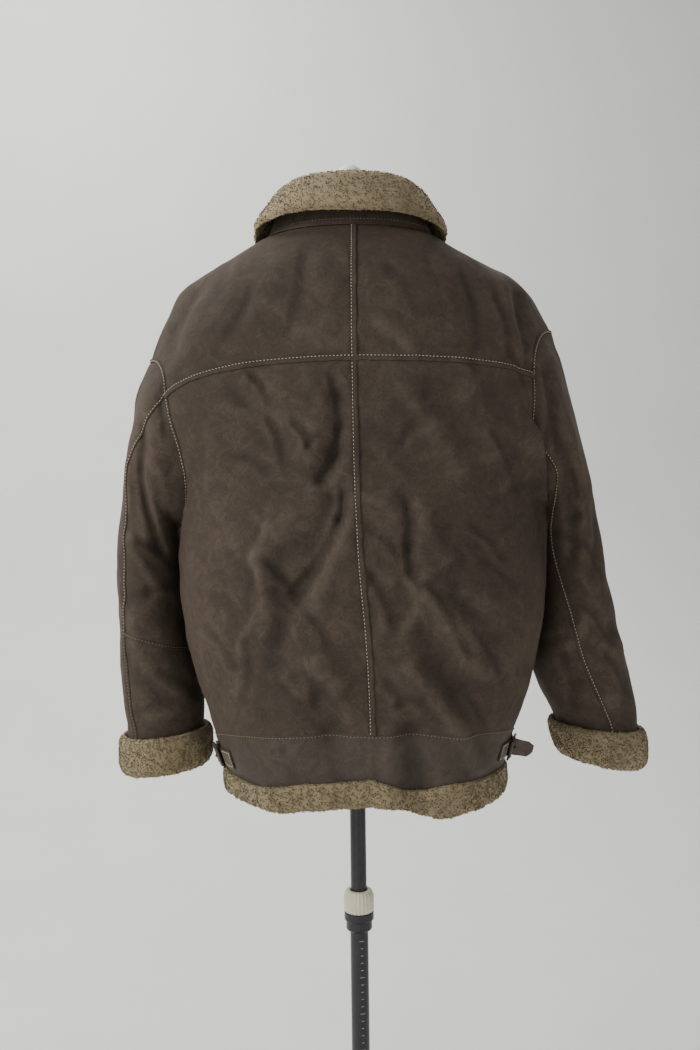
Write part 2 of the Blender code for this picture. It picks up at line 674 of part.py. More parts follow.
def turned(name, profile, material, sides=STAND_SIDES, ripple=0.0):
    """A turned solid from a profile of radius and height pairs, closed on the axis or round a bore."""
    data = bmesh.new()
    rings = []
    for radius, z in profile:
        if radius == 0.0:
            rings.append([data.verts.new((0.0, 0.0, z))])
            continue
        ring = []
        for k in range(sides):
            a = 2 * math.pi * k / sides
            r = radius - (ripple if k % 2 and ripple and radius > LOWER_TUBE_RADIUS + ripple else 0.0)
            ring.append(data.verts.new((r * math.cos(a), r * math.sin(a), z)))
        rings.append(ring)
    if len(rings[0]) > 1:
        rings.append(rings[0])
    for one, other in zip(rings, rings[1:]):
        for k in range(sides):
            j = (k + 1) % sides
            if len(one) == 1:
                data.faces.new((one[0], other[j], other[k]))
            elif len(other) == 1:
                data.faces.new((one[k], one[j], other[0]))
            else:
                data.faces.new((one[k], one[j], other[j], other[k]))
    return finish(name, data, material)


def jacket_grids():
    """All the grids of the body and sleeves, with the sign that turns their normals outward."""
    plain = {}
    for side in (LEFT, RIGHT):
        for half in (BACK, FRONT):
            plain[(side, half)] = (quadrant(side, half), -side * half)
    outward = shared_normals(plain)
    grids = {}
    for (side, half), (grid, sign) in plain.items():
        depth = fold_depth(FOLDS[half], grid[..., 0], grid[..., 2], "x", "z") * fold_window(half)
        grids[(side, half)] = (grid + outward[(side, half)] * depth[..., None], sign)
    for side in (LEFT, RIGHT):
        grids[(side, "sleeve")] = (sleeve_grid(side, grids[(side, BACK)][0], grids[(side, FRONT)][0]), -side)
    return grids


def body_panels(grids, outward):
    """Yokes, back panels, fronts and the hem band."""
    for side in (LEFT, RIGHT):
        word = SIDE_NAMES[side]
        back, back_out = grids[(side, BACK)][0], outward[(side, BACK)]
        front, front_out = grids[(side, FRONT)][0], outward[(side, FRONT)]
        wall(f"back_yoke_{word}", back[YOKE_ROW:], back_out[YOKE_ROW:], SUEDE_WALL, "suede")
        lower = slice(BAND_ROWS, YOKE_ROW + 1)
        wall(f"back_{word}", back[lower], back_out[lower], SUEDE_WALL, "suede")
        wall(f"front_{word}", front[BAND_ROWS:], front_out[BAND_ROWS:], SUEDE_WALL, "suede")
        band = slice(0, BAND_ROWS + 1)
        wall(f"hem_band_front_{word}", front[band], front_out[band], SUEDE_WALL, "band_suede")
    left, right = grids[(LEFT, BACK)][0][band], grids[(RIGHT, BACK)][0][band]
    left_out, right_out = outward[(LEFT, BACK)][band], outward[(RIGHT, BACK)][band]
    whole = np.concatenate([left[:, ::-1], right[:, 1:]], axis=1)
    whole_out = np.concatenate([left_out[:, ::-1], right_out[:, 1:]], axis=1)
    wall("hem_band_back", whole, whole_out, SUEDE_WALL, "band_suede")


def sleeve_panels(grids, outward):
    """Top and under sleeves between their rear and front seams."""
    for side in (LEFT, RIGHT):
        word = SIDE_NAMES[side]
        grid, out = grids[(side, "sleeve")][0], outward[(side, "sleeve")]
        rear, front = SLEEVE_SEAMS[side]["rear"], SLEEVE_SEAMS[side]["front"]
        under = slice(rear, front + 1)
        top = np.concatenate([np.arange(front, LOOP), np.arange(rear + 1)])
        wall(f"sleeve_{word}_top", grid[:, top], out[:, top], SUEDE_WALL, "suede", SLEEVE_INSET)
        if side == LEFT:
            upper, lower = slice(0, ELBOW_SEAM_ROW + 1), slice(ELBOW_SEAM_ROW, SLEEVE_ROWS + 1)
            wall(
                "sleeve_left_under_upper", grid[upper, under], out[upper, under], SUEDE_WALL, "suede",
                SLEEVE_INSET,
            )
            wall(
                "sleeve_left_under_lower", grid[lower, under], out[lower, under], SUEDE_WALL, "suede",
                SLEEVE_INSET,
            )
        else:
            wall("sleeve_right_under", grid[:, under], out[:, under], SUEDE_WALL, "suede", SLEEVE_INSET)


def cuffs(grids):
    """Turned-back pile cuffs round the last stretch of each sleeve."""
    for side in (LEFT, RIGHT):
        ring = grids[(side, "sleeve")][0][-1, :-1]
        above = grids[(side, "sleeve")][0][-2, :-1]
        middle = ring.mean(axis=0)
        out = unit((ring - middle) * np.array([1.0, 1.0, 0.0]))
        rise = unit(above - ring)
        profile = [
            (TOUCH, -CUFF_BELOW_SLEEVE + 0.004),
            (TOUCH, CUFF_HEIGHT - CUFF_BELOW_SLEEVE - 0.006),
            (CUFF_PILE * 0.45, CUFF_HEIGHT - CUFF_BELOW_SLEEVE),
            (CUFF_PILE * 0.95, CUFF_HEIGHT - CUFF_BELOW_SLEEVE - 0.008),
            (CUFF_PILE * 1.05, CUFF_HEIGHT * 0.30),
            (CUFF_PILE * 1.00, -CUFF_BELOW_SLEEVE + 0.010),
            (CUFF_PILE * 0.50, -CUFF_BELOW_SLEEVE),
        ]
        sections = []
        for k in range(LOOP):
            sections.append([ring[k] + out[k] * r + rise[k] * h for r, h in profile])
        loft(f"cuff_pile_{SIDE_NAMES[side]}", sections, "pile", closed=True)


def hem_pile(grids, outward):
    """The pile trim below the band, open at the zip."""
    order = [((LEFT, FRONT), range(0, COLUMNS)), ((LEFT, BACK), range(COLUMNS, 0, -1))]
    order += [((RIGHT, BACK), range(0, COLUMNS)), ((RIGHT, FRONT), range(COLUMNS, -1, -1))]
    profile = [(-0.0035, 0.0), (0.003, 0.0), (0.0055, -0.12), (0.0062, -0.5), (0.0045, -0.88)]
    profile += [(0.0, -1.0), (-0.0055, -0.85), (-0.007, -0.4)]
    sections = []
    for key, columns in order:
        for k in columns:
            point, out = grids[key][0][0, k], unit(outward[key][0, k] * np.array([1.0, 1.0, 0.0]))
            bottom = HEM_PILE_Z
            if key[1] == BACK:
                bottom = read(HEM_WAVE, "x", "bottom", point[0])
            height = point[2] - TOUCH - bottom
            top = np.array([0.0, 0.0, point[2] - TOUCH])
            base = point * np.array([1.0, 1.0, 0.0]) + top
            sections.append([base + out * r + np.array([0.0, 0.0, height * h]) for r, h in profile])
    loft("hem_pile", sections, "pile")


def neck_stations(grids):
    """Points on the neck seam from the left front round the back, with their angle and outward way."""
    order = [((LEFT, FRONT), range(0, NECK_COLUMNS)), ((LEFT, BACK), range(NECK_COLUMNS, 0, -1))]
    order += [((RIGHT, BACK), range(0, NECK_COLUMNS)), ((RIGHT, FRONT), range(NECK_COLUMNS, -1, -1))]
    corners = np.array([grids[key][0][TOP_ROW, k] for key, columns in order for k in columns])
    base = np.repeat(corners, 2, axis=0)[:-1]
    base[1::2] = (corners[:-1] + corners[1:]) / 2
    angle = np.degrees(np.arctan2(np.abs(base[:, 0]) / NECK_HALF_WIDTH, base[:, 1] / NECK_BACK))
    along = np.gradient(base, axis=0)
    out = unit(np.stack([along[:, 1], -along[:, 0], 0 * along[:, 0]], axis=1))
    return base, angle, out * np.sign(np.sum(out[0] * base[0] * [1, 1, 0]))


def body_surface(grids):
    """The body's outer faces for finding heights on it."""
    points, faces = [], []
    for side in (LEFT, RIGHT):
        for half in (BACK, FRONT):
            grid = grids[(side, half)][0]
            first = len(points)
            points += [Vector(point) for point in grid.reshape(-1, 3)]
            wide = grid.shape[1]
            for row in range(grid.shape[0] - 1):
                for k in range(wide - 1):
                    corner = first + row * wide + k
                    faces.append((corner, corner + 1, corner + wide + 1, corner + wide))
    return BVHTree.FromPolygons(points, faces)


def collar(grids):
    """The leather stand on the neck seam and the pile collar folded over it."""
    stand_rows = []
    stand_out = []
    sections = []
    surface = body_surface(grids)
    up = np.array([0.0, 0.0, 1.0])
    for base, angle, out in zip(*neck_stations(grids)):
        lean, height, reach, edge = (
            read(COLLAR, "angle", name, angle) for name in ("lean", "height", "reach", "edge")
        )
        edge += COLLAR_TILT * base[0] / NECK_HALF_WIDTH
        for spot in (reach, reach - 0.008):
            below = surface.ray_cast(Vector(base + out * spot + up * 0.05), Vector((0.0, 0.0, -1.0)))[0]
            if below:
                edge = max(edge, below.z - base[2] + COLLAR_CLEAR)
        low, high = 0.0006, height - 0.0106
        foot = lean * (COLLAR_FOOT - low) / (high - low)
        shares = np.linspace(0, 1, 3)
        stand_rows.append([base + out * lean * share + up * (low + (high - low) * share) for share in shares])
        stand_out.append([out] * 3)
        fall = unit(np.array([reach - lean, edge - height + 0.0102]))
        side = np.array([-fall[1], fall[0]])
        corner = np.array([reach, edge])
        profile = [
            (foot - STAND_WALL - COLLAR_GAP - 0.0075, COLLAR_FOOT),
            (foot - STAND_WALL - COLLAR_GAP, COLLAR_FOOT),
            (lean - STAND_WALL - COLLAR_GAP, height - 0.0102),
            (lean + TOUCH, height - 0.0102),
            corner,
            corner + side * COLLAR_PILE * 0.55 + fall * 0.003,
            corner + side * COLLAR_PILE - fall * 0.003,
            corner + side * COLLAR_PILE * 1.1 - fall * 0.022,
            (lean + 0.0105, height - 0.006),
            (lean - 0.001, height),
            (lean - 0.0105, height - 0.007),
        ]
        sections.append([base + out * r + up * h for r, h in profile])
    stand = np.array(stand_rows).transpose(1, 0, 2)
    wall("collar_stand", stand, np.array(stand_out).transpose(1, 0, 2), STAND_WALL, "stand_leather", gap=0.0)
    loft("collar_pile", sections, "pile")


def zip_front(grids):
    """Zip tape with its chain, slider and pull."""
    edge = grids[(LEFT, FRONT)][0][:, 0]
    half = HALF_ZIP - 2 * SEAM_INSET
    strip = np.stack([edge * [0, 1, 1] + [x, 0, 0] for x in (-half, half)], axis=1)
    along = unit(np.gradient(edge, axis=0))
    out = np.cross([1.0, 0.0, 0.0], along)
    out = np.stack([out, out], axis=1)
    wall("zip_tape", strip, out, 0.0016, "zip_tape")
    low, high = edge[SLIDER_ROW] * [0, 1, 1], edge[SLIDER_ROW + 1] * [0, 1, 1]
    at = (low + high) / 2
    down = unit(low - high)
    normal = np.cross(down, [1.0, 0.0, 0.0])
    normal = normal if normal[1] < 0 else -normal

    def place(x, fall, lift):
        """A point beside the slider: across, down the zip and off its surface."""
        return at + np.array([x, 0.0, 0.0]) + down * fall + normal * lift

    sections = []
    for outer, inner, half in SLIDER_RING:
        corners = [(-half, outer), (half, outer), (half, inner), (-half, inner)]
        sections.append([place(x, fall, lift) for x, (fall, lift) in corners])
    loft("zip_slider", sections, "zip_metal", closed=True, smooth=False)
    pin_fall, pin_lift = -0.001, 0.0052
    pin = [
        place(0.0, pin_fall + 0.0008 * math.cos(a), pin_lift + 0.0008 * math.sin(a))
        for a in np.linspace(0, 2 * math.pi, 9)[:-1]
    ]
    bar = loft(
        "zip_pull", [[p + [x, 0, 0] for p in pin] for x in (-0.0042, 0.0042)], "zip_metal", smooth=False,
    )
    outline = [
        (-0.0042, -0.0016), (-0.0026, -0.0016), (-0.0026, 0.0080), (0.0026, 0.0080), (0.0026, -0.0016),
        (0.0042, -0.0016),
    ]
    outline += [(0.0042, 0.0220), (0.0030, 0.0300), (-0.0030, 0.0300), (-0.0042, 0.0220)]
    blade = loft(
        "blade",
        [[place(x, pin_fall + f, pin_lift + h) for x, f in outline] for h in (-0.0006, 0.0006)],
        "zip_metal",
        smooth=False,
    )
    join(bar, blade)
    hinge = place(0.0, pin_fall, pin_lift)
    bar.data.transform(Matrix.Translation(Vector(-hinge)))
    bar.location = hinge
    return hinge


def join(obj, tool):
    """One body of the two solids."""
    union = obj.modifiers.new("union", "BOOLEAN")
    union.operation = "UNION"
    union.object = tool
    tool.hide_render = True
    tool.display_type = "WIRE"


def band_frame(grids, outward, side):
    """A map to a point from distance along the band past the buckle's middle, height and lift."""
    back, front = grids[(side, BACK)][0][: BAND_ROWS + 1], grids[(side, FRONT)][0][: BAND_ROWS + 1]
    back_out, front_out = outward[(side, BACK)][: BAND_ROWS + 1], outward[(side, FRONT)][: BAND_ROWS + 1]
    points = np.concatenate([front[:, :-1], back[:, ::-1]], axis=1)
    out = np.concatenate([front_out[:, :-1], back_out[:, ::-1]], axis=1)
    steps = np.linalg.norm(np.diff(points[1], axis=0), axis=1)
    along = np.concatenate([[0.0], np.cumsum(steps)])
    along -= along[COLUMNS] + ADJUSTER_SHIFT

    def place(past, z, lift):
        """The point there."""
        column = [
            np.array([np.interp(past, along, points[r, :, k]) for k in range(3)])
            for r in range(BAND_ROWS + 1)
        ]
        normal = [
            np.array([np.interp(past, along, out[r, :, k]) for k in range(3)])
            for r in range(BAND_ROWS + 1)
        ]
        heights = [p[2] for p in column]
        spot = np.array([np.interp(z, heights, [p[k] for p in column]) for k in range(3)])
        spot[2] = z
        facing = unit(np.array([np.interp(z, heights, [n[k] for n in normal]) for k in range(3)]))
        return spot + facing * lift

    return place


def ribbon(name, place, z, path, half_width, point_length=0.0):
    """A strap along a path of distance and lift pairs, with a square or a pointed end."""
    path = np.array(path)
    ahead = unit(np.gradient(path, axis=0))
    across = np.stack([-ahead[:, 1], ahead[:, 0]], axis=1) * STRAP_WALL / 2
    sections = []
    run = np.concatenate([[0.0], np.cumsum(np.linalg.norm(np.diff(path, axis=0), axis=1))])
    for i in range(len(path)):
        left_over = run[-1] - run[i]
        tip = min(left_over / point_length, 1.0) if point_length else 1.0
        half = half_width * (0.35 + 0.65 * tip)
        one, other = path[i] + across[i], path[i] - across[i]
        corners = [(one, z - half), (one, z + half), (other, z + half), (other, z - half)]
        sections.append([place(spot[0], height, spot[1]) for spot, height in corners])
    return loft(name, sections, "strap_leather", smooth=False)


def adjusters(grids, outward):
    """At each side of the band: a stitched tab, a buckle and the front strap with its pointed end."""
    low = 0.0008 + STRAP_WALL / 2
    over = low + STRAP_WALL / 2 + TOUCH
    high = over + BAR + TOUCH + STRAP_WALL / 2
    inside = BUCKLE_HALF_LENGTH - BAR / 2 - TOUCH - STRAP_WALL / 2
    for side in (LEFT, RIGHT):
        word = SIDE_NAMES[side]
        z = ADJUSTER_Z[side]
        place = band_frame(grids, outward, side)
        tab = [
            (0.046, low), (0.040, low), (0.034, low), (0.028, low), (0.022, low), (0.016, low), (0.011, low),
        ]
        tab += [
            (inside + 0.0012, low), (inside, low + 0.0015), (inside, high - 0.0015), (inside + 0.0012, high),
        ]
        tab += [(0.011, high), (0.018, high)]
        ribbon(f"adjuster_tab_{word}", place, z, tab, STRAP_HALF_WIDTH)
        strap = [(-0.076 + 0.006 * k, low) for k in range(11)] + [(-0.011, low)]
        strap += [(-inside - 0.0012, low), (-inside, low + 0.0015), (-inside, high - 0.0015)]
        if side == LEFT:
            strap += [
                (-inside - 0.0012, high), (-0.014, high + 0.0004), (-0.022, high + 0.0012),
                (-0.028, high + 0.0018),
            ]
            strap += [(-0.034, high + 0.0024), (-0.044, high + 0.003)]
        else:
            strap += [
                (-inside - 0.0010, high + 0.003), (-inside - 0.0050, high + 0.009),
                (-inside - 0.0100, high + 0.015),
            ]
            strap += [(-inside - 0.0150, high + 0.021), (-inside - 0.0200, high + 0.027)]
        ribbon(f"adjuster_strap_{word}", place, z, strap, STRAP_HALF_WIDTH, 0.009)
        sections = []
        for past, height in ((1, -1), (1, 1), (-1, 1), (-1, -1)):
            a, b = past * BUCKLE_HALF_LENGTH, height * BUCKLE_HALF_HEIGHT
            half = BAR / 2
            inner, outer = (a - past * half, b - height * half), (a + past * half, b + height * half)
            sections.append([place(s[0], z + s[1], lift) for s, lift in (
                (inner, over), (outer, over), (outer, over + BAR), (inner, over + BAR))])
        loft(f"buckle_{word}", sections, "buckle_metal", closed=True, smooth=False)


def dress_form():
    """The limbless form, its neck cap and its stand."""
    drop = FORM_GAP * math.hypot(1.0, SHOULDER_SLOPE)
    rows = list(zip(FORM["z"], FORM["width"], FORM["depth"]))
    for width, depth, below in zip(*FORM_SHOULDER.values()):
        z = NECK_Z - SHOULDER_SLOPE * (width - NECK_HALF_WIDTH) - drop - below
        rows.append((z, width, depth))
    rows += list(zip(FORM_NECK["z"], FORM_NECK["width"], FORM_NECK["depth"]))
    sections = []
    for z, width, depth in rows:
        turns = np.linspace(0.0, 2 * math.pi, FORM_SIDES + 1)[:-1]
        sections.append([(width * math.cos(a), depth * math.sin(a), z) for a in turns])
    loft("form_torso", sections, "form_cloth")
    base = NECK_CAP_BASE
    cap = [(0.0, base), (0.051, base), (0.053, base + 0.004), (0.050, base + 0.012), (0.022, base + 0.017)]
    cap += [(0.0115, base + 0.022), (0.0120, base + 0.027), (0.0180, base + 0.034), (0.0192, base + 0.041)]
    cap += [(0.0165, base + 0.048), (0.0095, base + 0.0535), (0.0, base + 0.0555)]
    turned("neck_cap", cap, "cap_paint")
    foot, top = UPPER_TUBE_FOOT, FORM["z"][0] - TOUCH
    turned(
        "pole_upper", [(0.0, foot), (UPPER_TUBE_RADIUS, foot), (UPPER_TUBE_RADIUS, top), (0.0, top)],
        "tube_paint",
    )
    outer, bore = LOWER_TUBE_RADIUS, LOWER_TUBE_BORE
    foot, top = LOWER_TUBE_FOOT, LOWER_TUBE_TOP
    turned("pole_lower", [(outer, foot), (outer, top), (bore, top), (bore, foot)], "tube_paint")
    slack = UPPER_TUBE_RADIUS + 0.0006
    ring = [
        (0.0195, RING_LOW), (0.0210, RING_LOW + 0.002), (0.0210, RING_HIGH - 0.008),
        (0.0180, RING_HIGH - 0.001),
    ]
    ring += [(0.0165, RING_HIGH), (0.0125, RING_HIGH), (slack, RING_HIGH - 0.002), (slack, RING_LOW)]
    turned("clamp_ring", ring, "ring_plastic", sides=36, ripple=0.0009)
    wide = outer + TOUCH
    ferrule = [(0.0150, FERRULE_LOW), (0.0180, FERRULE_LOW + 0.003), (0.0180, FERRULE_LOW + 0.014)]
    ferrule += [
        (0.0205, FERRULE_LOW + 0.016), (0.0205, RING_LOW - TOUCH), (wide, RING_LOW - TOUCH),
        (wide, FERRULE_LOW),
    ]
    turned("clamp_ferrule", ferrule, "tube_paint")
    radius = BASE_RADIUS
    base = [
        (0.0, 0.0), (radius, 0.0), (radius + 0.001, 0.004), (radius - 0.004, 0.008), (0.060, 0.0125),
        (0.026, 0.020),
    ]
    base += [
        (0.021, 0.034), (0.0195, 0.045), (wide, 0.045), (wide, LOWER_TUBE_FOOT - TOUCH),
        (0.0, LOWER_TUBE_FOOT - TOUCH),
    ]
    turned("base", base, "base_paint", sides=36)


def main():
    """Build the whole object."""
    for obj in list(bpy.data.objects):
        bpy.data.objects.remove(obj, do_unlink=True)
    grids = jacket_grids()
    outward = seam_normals(grids)
    body_panels(grids, outward)
    sleeve_panels(grids, outward)
    cuffs(grids)
    hem_pile(grids, outward)
    collar(grids)
    zip_front(grids)
    adjusters(grids, outward)
    dress_form()


main()
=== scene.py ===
import math

import bmesh
import bpy
import numpy as np
from mathutils import Matrix, Vector, noise
from mathutils.bvhtree import BVHTree


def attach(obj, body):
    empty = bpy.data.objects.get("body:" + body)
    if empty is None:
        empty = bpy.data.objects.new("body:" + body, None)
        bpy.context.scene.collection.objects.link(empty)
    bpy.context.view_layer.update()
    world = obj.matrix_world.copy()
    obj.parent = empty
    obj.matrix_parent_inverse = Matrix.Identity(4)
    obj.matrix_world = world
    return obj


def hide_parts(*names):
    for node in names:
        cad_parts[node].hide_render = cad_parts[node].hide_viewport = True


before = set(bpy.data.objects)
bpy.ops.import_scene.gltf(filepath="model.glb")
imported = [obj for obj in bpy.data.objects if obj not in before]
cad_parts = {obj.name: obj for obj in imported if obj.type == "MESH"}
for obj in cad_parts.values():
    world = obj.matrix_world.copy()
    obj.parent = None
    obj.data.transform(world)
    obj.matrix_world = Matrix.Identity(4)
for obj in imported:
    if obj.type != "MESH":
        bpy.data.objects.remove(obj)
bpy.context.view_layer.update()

# The photo's view: from behind, level, and rolled a little
photoView = {"lens": 34.286, "sensor": 36.0, "place": (0.0056, 1.392, 1.10), "roll": -0.75}
camera = bpy.data.cameras.new("camera")
camera.lens = photoView["lens"]
camera.sensor_width = photoView["sensor"]
cameraObject = bpy.data.objects.new("camera", camera)
bpy.context.scene.collection.objects.link(cameraObject)
spot = Matrix.Translation(photoView["place"])
level = Matrix.Rotation(math.pi, 4, "Z") @ Matrix.Rotation(math.pi / 2, 4, "X")
cameraObject.matrix_world = spot @ level @ Matrix.Rotation(math.radians(photoView["roll"]), 4, "Z")
bpy.context.scene.camera = cameraObject


# Columns of a table, by name, from its rows
def table(columns, *rows):
    return dict(zip(columns.split(), np.array(rows, float).T))


leftSide, rightSide = 1, -1
backHalf, frontHalf = 1, -1
sideNames = {leftSide: "left", rightSide: "right"}
seamInset = 0.0002
touchGap = 0.0004
halfZip = 0.0065
bandRows = 2
sideRows = 10
armRows = 6
yokeRows = 5
neckColumns = 5
shoulderColumns = 7
sleeveRows = 15
columnCount = neckColumns + shoulderColumns
yokeRow = bandRows + sideRows + armRows
armpitRow = bandRows + sideRows
topRow = yokeRow + yokeRows
loopCount = 2 * (topRow - armpitRow)
# Heights of the seams at the centre and at the side seam
hemZ = 0.7745
bandZ, bandSideZ = 0.840, 0.820
yokeZ = 1.312
# Half widths at the side seams and depths at the centre lines, by height
bodySizes = table(
    "z left right back front",
    (0.735, 0.168, 0.188, 0.150, 0.150),
    (0.775, 0.178, 0.200, 0.152, 0.151),
    (0.840, 0.200, 0.224, 0.156, 0.153),
    (0.900, 0.220, 0.243, 0.166, 0.157),
    (1.000, 0.239, 0.260, 0.170, 0.156),
    (1.110, 0.2335, 0.248, 0.164, 0.150),
    (1.200, 0.225, 0.240, 0.159, 0.144),
    (1.312, 0.246, 0.239, 0.150, 0.130),
)
boxiness = 0.82
# The centre back seam's drift across the back, by height
centreBack = table(
    "z x",
    (0.750, -0.016),
    (0.847, -0.015),
    (0.946, -0.0115),
    (1.057, -0.003),
    (1.131, 0.0),
    (1.312, 0.002),
)
# Armholes: lowest and highest points, depths to back and front, and the yoke seam's end
armholeSizes = {
    leftSide: {
        "low": (0.2345, 1.104), "yoke": (0.247, 1.277), "high": (0.281, 1.329), "back": 0.092,
        "front": 0.086,
    },
    rightSide: {
        "low": (0.248, 1.117), "yoke": (0.239, 1.297), "high": (0.279, 1.362), "back": 0.090, "front": 0.084,
    },
}
armholeWaist = {leftSide: 0.221, rightSide: 0.232}
# Shoulder ridge: straight over the form's shoulder, then dropping past its end
shoulderSlope = 0.53
neckHalfWidth = 0.118
neckBack, neckFront = 0.078, 0.088
neckZ, neckFrontDrop = 1.495, 0.075
ridgeLine = {
    leftSide: table(
        "x z", (0.214, 1.4441), (0.235, 1.430), (0.2475, 1.410), (0.256, 1.390), (0.268, 1.366),
        (0.281, 1.329),
    ),
    rightSide: table(
        "x z", (0.214, 1.4441), (0.232, 1.4335), (0.2455, 1.422), (0.257, 1.403), (0.268, 1.383),
        (0.279, 1.362),
    ),
}
# Largest folds by their two ends in the view from behind or in front, their half width and their depth
largeFolds = {
    backHalf: table(
        "x0 z0 x1 z1 width depth",
        (-0.080, 1.016, -0.152, 0.917, 0.017, 0.006),
        (-0.056, 1.007, -0.123, 0.896, 0.018, -0.006),
        (-0.066, 0.920, -0.121, 0.849, 0.017, 0.006),
        (-0.121, 0.849, -0.151, 0.788, 0.017, 0.006),
        (-0.068, 1.131, -0.070, 1.043, 0.016, -0.005),
        (-0.069, 1.258, -0.127, 1.168, 0.018, 0.004),
        (-0.146, 1.262, -0.178, 1.190, 0.018, 0.005),
        (-0.124, 1.010, -0.177, 0.958, 0.018, -0.005),
        (0.141, 1.270, 0.089, 1.209, 0.020, -0.006),
        (0.021, 1.256, 0.026, 1.190, 0.014, -0.006),
        (0.026, 1.190, 0.039, 1.165, 0.014, -0.006),
        (0.040, 1.245, 0.050, 1.185, 0.018, 0.005),
        (0.024, 1.131, 0.068, 1.023, 0.017, -0.007),
        (0.011, 1.106, 0.050, 1.007, 0.016, 0.005),
        (0.085, 1.106, 0.114, 1.057, 0.016, 0.005),
        (0.114, 1.057, 0.108, 0.976, 0.016, 0.006),
        (0.086, 1.007, 0.100, 0.933, 0.018, -0.006),
        (0.070, 0.896, 0.048, 0.927, 0.016, 0.006),
        (0.048, 0.927, 0.022, 0.908, 0.016, 0.006),
        (0.075, 0.897, 0.033, 0.847, 0.018, -0.006),
        (0.033, 0.847, 0.018, 0.775, 0.018, -0.005),
        (0.189, 1.005, 0.144, 0.896, 0.020, 0.005),
        (0.211, 1.412, 0.252, 1.321, 0.015, -0.007),
        (-0.200, 1.415, -0.212, 1.320, 0.018, 0.006),
        (-0.222, 1.400, -0.236, 1.310, 0.014, -0.010),
        (-0.066, 0.840, -0.080, 0.740, 0.018, -0.011),
        (-0.040, 0.820, -0.036, 0.740, 0.018, 0.007),
        (-0.125, 0.820, -0.112, 0.740, 0.026, 0.005),
        (0.110, 0.820, 0.105, 0.740, 0.024, 0.005),
    ),
    frontHalf: table(
        "x0 z0 x1 z1 width depth",
        (0.090, 1.250, 0.130, 1.100, 0.022, 0.006),
        (0.050, 1.050, 0.100, 0.920, 0.022, -0.007),
        (0.150, 1.000, 0.110, 0.860, 0.022, 0.006),
        (0.060, 1.330, 0.110, 1.240, 0.020, -0.004),
        (-0.080, 1.220, -0.120, 1.080, 0.022, 0.006),
        (-0.055, 1.000, -0.110, 0.880, 0.022, -0.007),
        (-0.155, 1.050, -0.130, 0.900, 0.022, 0.006),
        (-0.070, 1.340, -0.120, 1.260, 0.020, -0.004),
    ),
}
# Lower edge of the suede band and of the pile below it, along the back from left to right
hemWave = table(
    "x top bottom",
    (-0.205, 0.7745, 0.7420),
    (-0.180, 0.7740, 0.7380),
    (-0.140, 0.7735, 0.7340),
    (-0.100, 0.7710, 0.7300),
    (-0.078, 0.7650, 0.7340),
    (-0.052, 0.7710, 0.7440),
    (-0.030, 0.7820, 0.7475),
    (0.020, 0.7785, 0.7445),
    (0.070, 0.7760, 0.7410),
    (0.100, 0.7720, 0.7375),
    (0.125, 0.7700, 0.7415),
    (0.190, 0.7745, 0.7440),
)
hemPileZ = 0.7430
# Sleeves: their outer and inner lines, and half depths, by share of the way to the cuff
sleeveSizes = {
    leftSide: table(
        "share outer_x outer_z inner_x inner_z depth y",
        (0, 0.2810, 1.3290, 0.2350, 1.1040, 0.090, 0.000),
        (0.06, 0.2924, 1.3093, 0.2435, 1.0990, 0.091, -0.002),
        (0.12, 0.3023, 1.2848, 0.2440, 1.0930, 0.092, -0.006),
        (0.25, 0.3136, 1.2305, 0.2418, 1.0757, 0.090, -0.016),
        (0.4, 0.3225, 1.1509, 0.2410, 1.0451, 0.086, -0.024),
        (0.55, 0.3326, 1.0592, 0.2406, 1.0010, 0.081, -0.028),
        (0.7, 0.3310, 0.9827, 0.2345, 0.9449, 0.077, -0.028),
        (0.82, 0.3310, 0.9011, 0.2240, 0.8960, 0.073, -0.028),
        (0.8667, 0.3280, 0.8552, 0.2163, 0.8613, 0.070, -0.028),
        (0.9333, 0.3229, 0.8144, 0.2178, 0.8246, 0.065, -0.028),
        (1, 0.3229, 0.7715, 0.2178, 0.7817, 0.065, -0.028),
    ),
    rightSide: table(
        "share outer_x outer_z inner_x inner_z depth y",
        (0, 0.2790, 1.3620, 0.2480, 1.1170, 0.088, 0.000),
        (0.06, 0.2844, 1.3413, 0.2570, 1.1120, 0.090, -0.002),
        (0.12, 0.2913, 1.3209, 0.2585, 1.1060, 0.091, -0.006),
        (0.25, 0.3065, 1.2618, 0.2600, 1.0899, 0.090, -0.016),
        (0.4, 0.3265, 1.1773, 0.2617, 1.0593, 0.086, -0.024),
        (0.55, 0.3453, 1.0806, 0.2622, 1.0102, 0.082, -0.028),
        (0.7, 0.3637, 0.9796, 0.2575, 0.9521, 0.079, -0.028),
        (0.82, 0.3815, 0.9011, 0.2495, 0.9011, 0.076, -0.028),
        (0.8667, 0.3927, 0.8531, 0.2632, 0.8633, 0.073, -0.028),
        (0.9333, 0.3948, 0.8144, 0.2800, 0.8286, 0.067, -0.028),
        (1, 0.3968, 0.7715, 0.2930, 0.7858, 0.066, -0.028),
    ),
}
